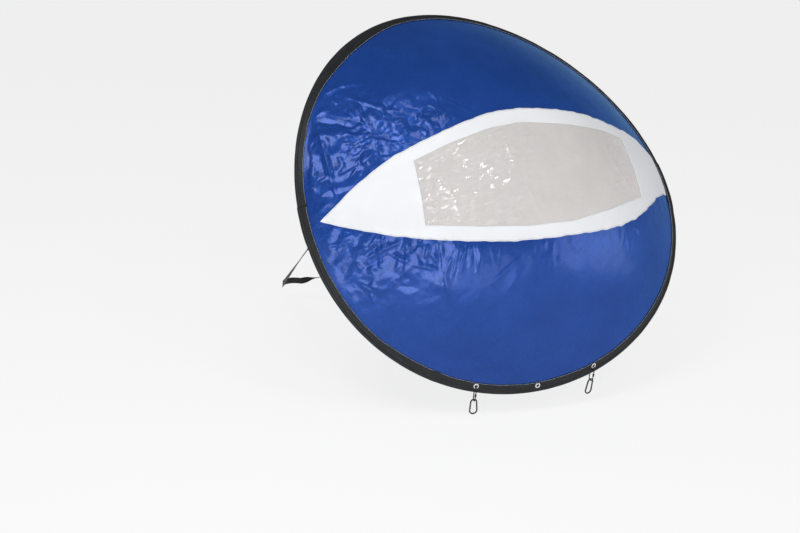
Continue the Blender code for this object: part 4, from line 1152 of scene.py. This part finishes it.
@dataclass(frozen=True)
class Panels:
    """The cloth of the sail: two blue panels, and the white one that is sewn over their edges."""

    cloth: float = 0.0004
    pitch: float = 0.0023
    far_pitch: float = 0.0062
    crumpled_to: float = -0.35
    calmer_over: float = 0.4
    side_share: float = 0.985
    hem_share: float = 0.988
    under: float = 0.010
    over_lift: float = 0.0006
    seam_wave: float = 0.0009
    top_rows: int = 134
    foot_rows: int = 116
    white_rows: tuple[int, int, int] = (14, 36, 14)
    stitch_count: int = 560
    stitch_span: Pair = (0.02, 0.955)
    stitch_inset: float = 0.0032
    stitch_sway: float = 0.0011
    thread: float = 0.00028

    def columns(self) -> Array:
        """Places of the columns across, closer together on the crumpled side."""
        places = [-self.side_share]
        while places[-1] < self.side_share:
            share = float(smooth_step(np.array((places[-1] - self.crumpled_to) / self.calmer_over)))
            places.append(places[-1] + (self.pitch + (self.far_pitch - self.pitch) * share) / BOWL.half_width)
        return np.array(places) * self.side_share / places[-1]

    def _wave(self, across: Array, phase: float) -> Array:
        """Small waves of a sewn edge from the panel's tip on, as a share of the half height."""
        more = 1 + 1.4 * smooth_step(across / 0.5)
        wave = self.seam_wave / BOWL.half_height * more * (
            np.sin(across * 61 + phase) * 0.6 + np.sin(across * 113 + 2 * phase) * 0.4)
        return wave * np.clip((across - EYE.tip) * 8, 0, 1)

    def seam_top(self, across: Array) -> Array:
        """Upper seam of the white panel, waved as sewn."""
        return EYE.top_at(across) + self._wave(across, 0.7)

    def seam_foot(self, across: Array) -> Array:
        """Lower seam of the white panel, waved as sewn."""
        return EYE.foot_at(across) + self._wave(across, 2.1)

    def _rim(self, across: Array) -> Array:
        """Height of the cloth's hem over the middle at places across."""
        return np.sqrt(np.clip(self.hem_share ** 2 - across ** 2, 0, None))

    def _blue(self, word: str, across: Array, low: Array, high: Array, rows: int,
              dresser: Dresser) -> Piece:
        """One blue panel between two edges.

        Args:
            word: upper or lower.
            across: places of its columns.
            low: lower edge at each of them.
            high: upper edge at each of them.
            rows: number of its rows.
            dresser: gives it its finish.

        Returns:
            The panel.
        """
        places = spread(across, low, high, np.linspace(0, 1, rows)[None])
        panel = sheet_piece(word + "_panel_cloth", *places, CRUMPLE.height(*places))
        wall(panel, self.cloth, CRUMPLE.amount)
        dresser.dress(panel, "blue_cloth", word + "_panel")
        return panel

    def build(self, dresser: Dresser) -> None:
        """Make the three panels and the stitches of their seams."""
        across = self.columns()
        rim, under, least = self._rim(across), self.under / BOWL.half_height, 0.002
        low = self.seam_top(across) - under
        top = self._blue("upper", across, low, np.maximum(rim, low + least), self.top_rows, dresser)
        high = self.seam_foot(across) + np.where(across < EYE.tip + 0.03, -0.001, under)
        foot = self._blue("lower", across, np.minimum(-rim, high - least), high, self.foot_rows, dresser)
        self._white(across, dresser)
        self._seams(dresser)

    def _white(self, across: Array, dresser: Dresser) -> None:
        """White panel: one grid from its tip to the right, with the window's faces cut out."""
        left, right, beside, first = EYE.window_left, EYE.window_right, 0.002, 0.004
        free = (across > EYE.tip + first) & (np.abs(across - left) > beside) & (np.abs(across - right) > beside)
        places = np.sort(np.append(across[free], (EYE.tip, left, right)))
        held, rim = np.clip(places, left, right), self._rim(places)
        low, high = np.maximum(self.seam_foot(places), -rim), np.minimum(self.seam_top(places), rim)
        share = [(edge - self.seam_foot(held)) / (self.seam_top(held) - self.seam_foot(held))
                 for edge in EYE.window(held)]
        ends = (np.zeros_like(low), *share, np.ones_like(low))
        rows = [np.linspace(start, stop, count + 1)[:-1] for start, stop, count in zip(ends, ends[1:], self.white_rows)]
        sideways, up = spread(places, low, high, np.vstack([*rows, ends[-1][None]]).T)
        eye = sheet_piece("eye_panel_white", sideways, up, CRUMPLE.height(sideways, up) + self.over_lift)
        bm = bmesh.new()
        bm.from_mesh(eye.data)
        layer = bm.loops.layers.uv.active
        faces = list(bm.faces)
        middles = np.array([np.mean([loop[layer].uv[:] for loop in face.loops], axis=0) for face in faces])
        x, z = middles[:, 0] / BOWL.half_width, middles[:, 1] / BOWL.half_height
        window_foot, window_top = EYE.window(x)
        opening = (x > left) & (x < right) & (z > window_foot) & (z < window_top)
        bmesh.ops.delete(bm, geom=[face for face, cut in zip(faces, opening) if cut], context="FACES")
        bm.to_mesh(eye.data)
        bm.free()
        wall(eye, self.cloth, CRUMPLE.amount)
        dresser.dress(eye, "white_cloth", "eye_panel")

    def _seams(self, dresser: Dresser) -> None:
        """Zigzag stitches inside the white panel's upper and lower edge, every second one white."""
        across = np.linspace(EYE.tip + self.stitch_span[0], self.stitch_span[1], self.stitch_count)
        sway = self.stitch_sway / BOWL.half_height * np.where(np.arange(len(across)) % 2, 1, -1)
        for word, edge, sign in (("upper", self.seam_top, -1), ("lower", self.seam_foot, 1)):
            up = edge(across) + sign * (self.stitch_inset / BOWL.half_height) + sway
            lift = CRUMPLE.height(across, up) + self.over_lift + self.cloth / 2 + 0.0001
            points = BOWL.point(across, up, lift)
            for first, thread, ending in ((0, "navy", ""), (1, "white", "_white")):
                dresser.sew("seam_stitches_" + word + ending, points[:-1][first::2], points[1:][first::2],
                            self.thread, thread, "white_cloth")


@dataclass(frozen=True)
class Window:
    """Clear film sewn behind the opening of the white panel."""

    film: float = 0.0004
    margin: float = 0.008
    drop: float = 0.0004
    columns: int = 320
    rows: int = 120
    ease_run: float = 0.02
    sizes: tuple[float, ...] = (0.080, 0.030, 0.013)
    peaks: tuple[float, ...] = (0.0024, 0.0024, 0.0017)
    turn_deg: float = 62.0
    turn_step_deg: float = 25.0
    stretch: float = 1.6
    seed: int = 101
    seed_step: int = 9
    folds: Table = (
        (22, 80, 430, 160, 480, 20, 560, -130), (22, 70, -420, 120, -330, 60),
        (26, 80, -440, 10, -430, -110, -400, -200), (20, 60, -200, 165, -170, 100), (20, 70, -135, 140, -120, -40),
        (22, 70, -80, -90, -40, -250),
    )
    stitch_step: float = 0.0036
    stitch_share: float = 0.72
    stitch_off: float = 0.0028
    stitch_lift: float = 0.0009
    thread: float = 0.00030

    def amount(self, across: Array, up: Array) -> Array:
        """How crumpled the film is: most in its left third."""
        left = np.exp(-((across + 0.56) / 0.16) ** 2) * (0.65 + 0.5 * np.exp(-((up + 0.22) / 0.12) ** 2))
        middle = 0.55 * np.exp(-((across + 0.20) / 0.22) ** 2)
        right = 0.25 * np.exp(-((across - 0.52) / 0.10) ** 2)
        return np.clip(0.08 + left + middle + right, 0, 1)

    def build(self, dresser: Dresser) -> None:
        """Make the film and the stitches that hold it."""
        beyond = self.margin / BOWL.half_width
        across = np.linspace(EYE.window_left - beyond, EYE.window_right + beyond, self.columns)
        low, high = EYE.window(across)
        low, high = low - self.margin / BOWL.half_height, high + self.margin / BOWL.half_height
        sideways, up = spread(across, low, high, np.linspace(0, 1, self.rows)[None])
        flat = BOWL.flat(sideways, up)
        own = np.zeros_like(up)
        for i, (size, peak) in enumerate(zip(self.sizes, self.peaks)):
            turn, seed = self.turn_deg - self.turn_step_deg * i, self.seed + self.seed_step * i
            own += peak * CRUMPLE.facets(flat, size, turn, self.stretch, seed)
        own *= self.amount(sideways, up)
        for fold in creases_of(self.folds):
            own += CRUMPLE.fold(flat, fold)
        edge = np.minimum.reduce([
            (sideways - across[0]) * BOWL.half_width, (across[-1] - sideways) * BOWL.half_width,
            (up - low[:, None]) * BOWL.half_height, (high[:, None] - up) * BOWL.half_height])
        inside = smooth_step((edge - self.margin) / self.ease_run)
        rise = own * inside + CRUMPLE.height(sideways, up) * (1 - inside) - self.drop
        film = sheet_piece("window_film_clear", sideways, up, rise)
        wall(film, self.film, self.amount)
        dresser.dress(film, "clear_film", "window_film")
        self._stitches(dresser)

    def _stitches(self, dresser: Dresser) -> None:
        """Straight stitches round the window's opening: along its top, right, foot and left."""
        step_x, step_z = self.stitch_step / BOWL.half_width, self.stitch_step / BOWL.half_height
        off_x, off_z = self.stitch_off / BOWL.half_width, self.stitch_off / BOWL.half_height
        across = np.arange(EYE.window_left, EYE.window_right, step_x)
        low, high = EYE.window(across)
        ends = [(x + way * off_x, np.arange(*(float(edge) for edge in EYE.window(np.array(x))), step_z))
                for x, way in ((EYE.window_left, -1), (EYE.window_right, 1))]
        left, right = (np.stack([np.full_like(up, x), up], -1) for x, up in ends)
        starts, stops = [], []
        for line in (np.stack([across, high + off_z], -1), np.stack([right[:, 0], right[::-1, 1]], -1),
                     np.stack([across, low - off_z], -1)[::-1], left):
            spots = BOWL.point(line[:, 0], line[:, 1], CRUMPLE.height(line[:, 0], line[:, 1]) + self.stitch_lift)
            starts.append(spots[:-1])
            stops.append(spots[:-1] + (spots[1:] - spots[:-1]) * self.stitch_share)
        dresser.sew("window_stitches", np.vstack(starts), np.vstack(stops), self.thread, "white", "white_cloth")


@dataclass(frozen=True)
class Sleeve:
    """Black binding folded round the hoop and sewn to the cloth's edge, in two lengths."""

    tube: float = 0.0050
    cloth: float = 0.0009
    lift: float = 0.0012
    depth: float = 0.026
    lap: float = 0.0013
    lap_deg: Pair = (191.5, 348.5)
    lap_over_deg: float = 2.5
    upper: Pair = (-9.0, 189.0)
    lower: Pair = (180.0, 365.5)
    upper_sewn: Pair = (6.3, 179.2)
    lower_sewn: Pair = (180.5, 364.8)
    pleat_deg: float = 240.0
    pleat_wide_deg: float = 1.1
    straight_deg: Pair = (109.5, 142.5)
    straight_more: float = 0.010
    narrow_deg: Pair = (140.0, 232.0)
    narrow_over_deg: float = 14.0
    narrow_less: float = 0.0055
    column_deg: float = 0.75
    lip_rows: tuple[float, ...] = (1.0, 0.97, 0.93, 0.88, 0.8, 0.7, 0.58, 0.46, 0.36, 0.29)
    tube_rows: int = 17
    stitch_pitch: float = 0.0042
    stitch_share: float = 0.66
    stitch_inset: float = 0.0014
    stitch_lift: float = 0.0005
    stitch_radius: float = 0.61
    thread: float = 0.00048

    @staticmethod
    def _noise(angle: Array, size: float, seed: int) -> Array:
        """Smooth random waver along the sleeve, from -1 to 1."""
        cells, whole_run = 600, 3.8
        table = np.random.default_rng(seed).uniform(-1, 1, cells)
        spot = np.mod(angle, 360) / 360 * whole_run / size
        cell = np.floor(spot).astype(int)
        ease = smooth_step(spot - cell)
        return table[cell % (cells - 1)] * (1 - ease) + table[(cell + 1) % (cells - 1)] * ease

    def reach(self, angle: Array) -> Array:
        """How far in from the rod the lips reach: more on the stretch sewn straight at the upper left."""
        start, end = self.straight_deg
        share = np.clip((angle - start) / (end - start), 0, 1)
        near, far = self.narrow_deg
        narrow = smooth_step((angle - near) / self.narrow_over_deg) * smooth_step((far - angle) / self.narrow_over_deg)
        return (self.depth + self.straight_more * 4 * share * (1 - share) - self.narrow_less * narrow
                + 0.0009 * self._noise(angle, 0.035, 3))

    def _grow(self, angle: Array, word: str) -> Array:
        """How far the lower length stands off where it laps over the upper one."""
        if word == "upper":
            return np.zeros_like(angle)
        first, last = self.lap_deg
        return self.lap * np.maximum(smooth_step((first - angle) / self.lap_over_deg),
                                     smooth_step((angle - last) / self.lap_over_deg))

    def _length(self, word: str, span: Pair, dresser: Dresser) -> None:
        """One length of the binding, its two lips and its channel in one sheet."""
        angle = np.arange(span[0], span[1] + 0.01, self.column_deg)
        grow = self._grow(angle, word)[:, None]
        centre, outward, _, front = BOWL.rim(angle)

        def waver(size: float, seed: int) -> Array:
            return self._noise(angle, size, seed)[:, None]

        pleat = np.exp(-((angle - self.pleat_deg) / self.pleat_wide_deg) ** 2)[:, None] * (word == "lower")
        depths = np.array(self.lip_rows)[None] * (self.reach(angle)[:, None] + 0.0004 * waver(0.009, 5))
        pucker = 0.00022 * np.sin(angle * math.pi / 0.62)[:, None] * smooth_step((depths - 0.012) / 0.008)
        pucker = np.abs(pucker + 0.00035 * waver(0.05, 8) * smooth_step((depths - 0.008) / 0.01))
        lips = []
        for sign, more in ((1, 1.0), (-1, 1.3)):
            away = sign * (self.lift + grow + pucker * more + pleat * 0.0012 * (1 - depths / self.depth))
            lips.append(BOWL.inset(np.repeat(angle[:, None], depths.shape[1], 1), depths, away))
        radius = (self.tube + grow) * (1 + 0.035 * waver(0.022, 13) + 0.10 * pleat)
        start = np.arcsin(np.clip((self.lift + grow) / radius, -1, 1)) + 0.12
        turn = start + (2 * math.pi - 2 * start) * np.linspace(0, 1, self.tube_rows)[None]
        flatter = 1 + 0.06 * waver(0.045, 21)
        ring = centre[:, None] - outward[:, None] * (radius * np.cos(turn))[..., None]
        ring = ring + front[:, None] * (radius * flatter * np.sin(turn))[..., None]
        places = np.concatenate([lips[0], ring, lips[1][:, ::-1]], 1)
        along, round_run = run_along(centre), run_along(places[len(angle) // 2])
        flat = np.stack(np.broadcast_arrays(along[:, None], round_run[None]), -1)
        piece = grid_piece("sleeve_" + word + "_binding", places, flat)
        wall(piece, self.cloth)
        dresser.dress(piece, "sleeve_cloth", "sleeve_" + word)

    def _stitches(self, word: str, span: Pair, dresser: Dresser) -> None:
        """Row of stitches along the lips of one length, in front and behind."""
        step = math.degrees(self.stitch_pitch / self.stitch_radius)
        angle = np.arange(*span, step)
        if word == "lower":
            angle = angle[np.abs(angle - self.pleat_deg) > 1.0]
        reach = self.reach(angle) - self.stitch_inset
        away = self.lift + self._grow(angle, word) + self.cloth / 2 + self.stitch_lift
        for side, sign in (("front", 1), ("back", -1)):
            starts, ends = (BOWL.inset(at, reach, sign * away) for at in (angle, angle + step * self.stitch_share))
            dresser.sew("sleeve_stitches_%s_%s" % (word, side), starts, ends, self.thread, "pale", "sleeve_cloth")

    def build(self, dresser: Dresser) -> None:
        """Make both lengths and their rows of stitches."""
        self._length("upper", self.upper, dresser)
        self._length("lower", self.lower, dresser)
        self._stitches("upper", self.upper_sewn, dresser)
        self._stitches("lower", self.lower_sewn, dresser)


@dataclass(frozen=True)
class Eyelets:
    """Three plated eyelets through the foot of the sleeve, each rolled over its washer behind."""

    bore: float = 0.0040
    wall: float = 0.0007
    flange: float = 0.0080
    roll: float = 0.0062
    inset: float = 0.0134
    inner: float = 0.026
    cell_deg: float = 4.45
    spread_deg: float = 17.8
    foot: float = 0.0021
    plate: float = 0.0008
    steps: int = 48
    sharp_deg: float = 50.0

    def frame(self, angle_deg: float) -> Matrix:
        """Matrix of an eyelet, local Z towards the front."""
        angles = np.array([angle_deg - self.cell_deg / 2, angle_deg + self.cell_deg / 2])
        ends = BOWL.inset(angles, np.array(self.inset))
        middle = ends.mean(0)
        along = unit(ends[1] - ends[0])
        inward = square_to(along, BOWL.inset(angles, np.array(self.inner)).mean(0) - middle)
        matrix = Matrix((along, inward, np.cross(along, inward))).transposed().to_4x4()
        matrix.translation = Vector(middle)
        return matrix

    def _turned(self, name: str, profile: Sequence[Pair], matrix: Matrix) -> Piece:
        """Turned piece: a closed outline of radius and height spun round the eyelet's axis."""
        bm = bmesh.new()
        verts = [bm.verts.new((radius, 0, height)) for radius, height in profile]
        edges = [bm.edges.new(pair) for pair in zip(verts, verts[1:] + verts[:1])]
        bmesh.ops.spin(bm, geom=verts + edges, cent=(0, 0, 0), axis=(0, 0, 1), angle=2 * math.pi,
                       steps=self.steps, use_merge=True)
        bmesh.ops.remove_doubles(bm, verts=bm.verts, dist=0.000005)
        bmesh.ops.recalc_face_normals(bm, faces=bm.faces)
        bmesh.ops.transform(bm, matrix=matrix, verts=bm.verts)
        piece = add_piece(name, bm)
        piece.data.set_sharp_from_angle(angle=math.radians(self.sharp_deg))
        return piece

    def build(self, dresser: Dresser) -> None:
        """Make the eyelets: a rolled flange in front, and the barrel rolled over the washer behind."""
        foot, top = self.foot, self.foot + self.plate
        bore, barrel, flange, roll = self.bore, self.bore + self.wall, self.flange, self.roll
        back = -(self.foot + self.plate + 0.0003)
        outline = (
            (bore, back + 0.0001), (bore, top - 0.0006), (bore + 0.0003, top - 0.0002), (bore + 0.0009, top),
            (flange - 0.0016, top - 0.00005), (flange - 0.0006, top - 0.0002), (flange - 0.0001, top - 0.00045),
            (flange, foot), (flange - 0.0006, foot + 0.0001), (barrel, foot + 0.0001), (barrel, back),
            (roll, back), (roll, back - 0.0003), (roll - 0.0006, back - 0.0006), (bore + 0.0006, back - 0.0006),
            (bore + 0.0001, back - 0.0003),
        )
        for word, offset in (("left", -self.spread_deg), ("centre", 0.0), ("right", self.spread_deg)):
            piece = self._turned("eyelet_ring_" + word, outline, self.frame(-90 + offset))
            dresser.dress(piece, "eyelet_metal", "eyelet_" + word)


@dataclass(frozen=True)
class FootLoop:
    """Knotted cord loop through an outer eyelet. The knot is given by places along it and the cord's size there."""

    side: Side
    eyelets: Eyelets
    half_width: float = 0.0076
    length: float = 0.047
    apex_drop: float = 0.0009
    cord: float = 0.0015
    knot_up: float = 0.0120
    knot: tuple[Pair, ...] = (
        (-0.0052, 1.0), (-0.0040, 1.5), (-0.0030, 1.95), (-0.0016, 2.0), (-0.0005, 1.62), (0.0006, 1.7),
        (0.0018, 2.0), (0.0031, 1.9), (0.0041, 1.45), (0.0052, 1.0),
    )
    arc_points: int = 17
    cord_sides: int = 12

    def build(self, dresser: Dresser) -> None:
        """Make the loop: up through the eyelet, down past the knot and round the clip."""
        matrix = self.eyelets.frame(-90 + self.side.value * self.eyelets.spread_deg)
        front = np.array(matrix.to_3x3() @ Vector((0, 0, 1)))
        down = unit(front * front[2] - LEVEL)
        sideways = np.cross(front, down)
        width, top = self.half_width, self.apex_drop + self.half_width
        foot = self.length - self.half_width
        turns = np.linspace(0, math.pi, self.arc_points)
        outline = [(width * math.cos(t), top - width * math.sin(t), 1.0)
                   for t in np.linspace(math.pi, 0, self.arc_points)]
        outline += [(width, foot - self.knot_up + shift, size) for shift, size in self.knot]
        outline += [(width * math.cos(t), foot + width * math.sin(t), 1.0) for t in turns]
        outline += [(-width, foot - (foot - top) * s, 1.0) for s in (0.25, 0.5, 0.75)]
        spots = np.array(outline)
        line = np.array(matrix.translation) + front * spots[:, :1] + down * spots[:, 1:2]
        ahead = unit(np.roll(line, -1, 0) - np.roll(line, 1, 0))
        sides = np.repeat(sideways[None], len(line), 0)
        round_turns = 2 * np.pi * np.arange(self.cord_sides) / self.cord_sides
        section = self.cord * np.stack([np.cos(round_turns), np.sin(round_turns)], -1)
        loop = sweep("foot_loop_cord_" + self.side.word, line, sides, np.cross(ahead, sides), section,
                     closed=True, sizes=spots[:, 2])
        dresser.dress(loop, "loop_cord", "foot_loop_" + self.side.word, body=self.side.word + "_loop")


# --- Studio ------------------------------------------------------------------------------------


class Lamp(NamedTuple):
    """Soft rectangular lamp aimed at a point."""

    name: str
    place: Triple
    aim: Triple
    size: Pair
    power: float

    def build(self) -> None:
        """Add the lamp to the scene."""
        data = bpy.data.lights.new(self.name, "AREA")
        data.shape = "RECTANGLE"
        data.size, data.size_y = self.size
        data.energy = self.power
        lamp = bpy.data.objects.new(self.name, data)
        bpy.context.scene.collection.objects.link(lamp)
        turn = (Vector(self.aim) - Vector(self.place)).to_track_quat("-Z", "Y")
        lamp.matrix_world = Matrix.Translation(self.place) @ turn.to_matrix().to_4x4()


@dataclass(frozen=True)
class Studio:
    """Camera at the photograph's place, soft lamps, and a pale floor and backdrop."""

    lens: float = 67.5
    azimuth_deg: float = -30.425
    elevation_deg: float = 17.426
    roll_deg: float = 4.182
    distance: float = 4.0611
    shift_right: float = 0.4283
    shift_up: float = 0.1354
    target: Triple = (0.0, -0.0160, 0.5115)
    lamps: tuple[Lamp, ...] = (
        Lamp("key", (-1.95, -0.60, 3.0), (-0.4, 0.3, 0.6), (1.3, 1.3), 36.0),
        Lamp("overhead", (-0.40, -0.45, 3.30), (-0.35, 0.25, 0.7), (0.6, 0.6), 6.5),
        Lamp("front", (-0.45, -3.2, 0.36), (-0.3, 0.1, 0.32), (2.6, 0.68), 9.0),
        Lamp("low", (-2.33, -4.03, 1.04), (-0.4, 0.1, 0.4), (2.7, 1.5), 66.0),
        Lamp("window", (0.35, -2.2, 3.1), (-0.15, 0.15, 0.6), (0.26, 0.26), 9.0),
        Lamp("spark", (-1.17, -2.65, 2.62), (-0.2, 0.1, 0.6), (0.26, 0.26), 8.0),
        Lamp("right", (3.2, -2.4, 0.75), (0.3, 0.2, 0.4), (3.0, 1.2), 26.0),
    )
    sky: float = 0.31
    floor_radius: float = 14.0
    floor_drop: float = 0.0006
    floor_glow: float = 0.8
    floor_mirrored: float = 0.15

    def camera(self) -> None:
        """Create the camera."""
        a, e, r = (math.radians(x) for x in (self.azimuth_deg, self.elevation_deg, self.roll_deg))
        back = Vector((math.sin(a) * math.cos(e), -math.cos(a) * math.cos(e), math.sin(e)))
        right = (-back).cross(Vector((0, 0, 1))).normalized()
        up = right.cross(-back)
        right, up = right * math.cos(r) + up * math.sin(r), up * math.cos(r) - right * math.sin(r)
        data = bpy.data.cameras.new("camera")
        data.lens = self.lens
        data.sensor_width = 36.0
        camera = bpy.data.objects.new("camera", data)
        bpy.context.scene.collection.objects.link(camera)
        matrix = Matrix((right, up, back)).transposed().to_4x4()
        matrix.translation = (Vector(self.target) + back * self.distance - right * self.shift_right
                              - up * self.shift_up)
        camera.matrix_world = matrix
        bpy.context.scene.camera = camera

    @staticmethod
    def _shown(graph: Graph) -> Socket:
        """One for what the camera sees straight, in a mirror or through glass."""
        path = graph.add("LightPath")
        seen = graph.sum("MAXIMUM", path.outputs["Is Camera Ray"], path.outputs["Is Glossy Ray"])
        return graph.sum("MAXIMUM", seen, path.outputs["Is Transmission Ray"])

    def _world(self) -> None:
        """White backdrop that lights the sail softly."""
        world = bpy.data.worlds.new("studio")
        bpy.context.scene.world = world
        world.use_nodes = True
        graph = Graph(world.node_tree)
        height = graph.add("SeparateXYZ", {0: graph.add("TexCoord").outputs["Generated"]}).outputs[2]
        seen = graph.sum("MULTIPLY", self._shown(graph), graph.ramp(height, 0.02, 0.42, 0.69, -0.02))
        graph.put(world.node_tree.nodes["Background"],
                  {"Strength": graph.sum("ADD", seen, self.sky), "Color": (1, 1, 1, 1)})

    def _floor(self, level: float) -> None:
        """Wide pale floor at a level, brighter to the camera than as a lamp."""
        bm = bmesh.new()
        bmesh.ops.create_circle(bm, cap_ends=True, segments=64, radius=self.floor_radius)
        bmesh.ops.translate(bm, vec=(0, 0, level), verts=bm.verts)
        floor = add_piece("floor", bm)
        material = bpy.data.materials.new("floor")
        material.use_nodes = True
        graph, nodes = Graph(material.node_tree), material.node_tree.nodes
        shader = graph.put(nodes["Principled BSDF"], {"Base Color": (0.9, 0.9, 0.9, 1), "Roughness": 0.9})
        glossy = graph.add("LightPath").outputs["Is Glossy Ray"]
        strength = graph.sum("MULTIPLY_ADD", glossy, self.floor_mirrored, 1.0)
        glow = graph.add("Emission", {"Color": (1, 1, 1, 1), "Strength": strength})
        share = graph.sum("MULTIPLY", self._shown(graph), self.floor_glow)
        mix = graph.add("MixShader", {0: share, 1: shader.outputs[0], 2: glow.outputs[0]})
        out = next(node for node in nodes if node.type == "OUTPUT_MATERIAL")
        graph.put(out, {"Surface": mix.outputs[0]})
        floor.data.materials.append(material)
        floor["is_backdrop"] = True

    def build(self, lowest: float) -> None:
        """Light the scene, and lay the floor just under the lowest piece."""
        for lamp in self.lamps:
            lamp.build()
        self._world()
        self._floor(lowest - self.floor_drop)
        bpy.context.scene.view_settings.view_transform = "Standard"


def corners(box: Sequence[Sequence[float]]) -> list[list[float]]:
    """Corners of a box as plain lists."""
    return [[float(x) for x in corner] for corner in box]


def main() -> None:
    """Load the frame, then build and dress every piece of the sail."""
    logging.basicConfig(level=logging.INFO, format="%(name)s %(message)s")
    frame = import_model()
    cad_box = corners(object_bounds())
    studio = Studio()
    studio.camera()
    dresser = Dresser()
    loops, eyelets = SideLoops(), Eyelets()
    ControlTape().build(loops, dresser)
    for group in (loops, Sleeve(), Panels(), Window(), eyelets, *(FootLoop(side, eyelets) for side in Side)):
        group.build(dresser)
    dresser.keep(frame["nodes"])
    studio.build(cad_box[0][2])


if __name__ == "__main__":
    main()
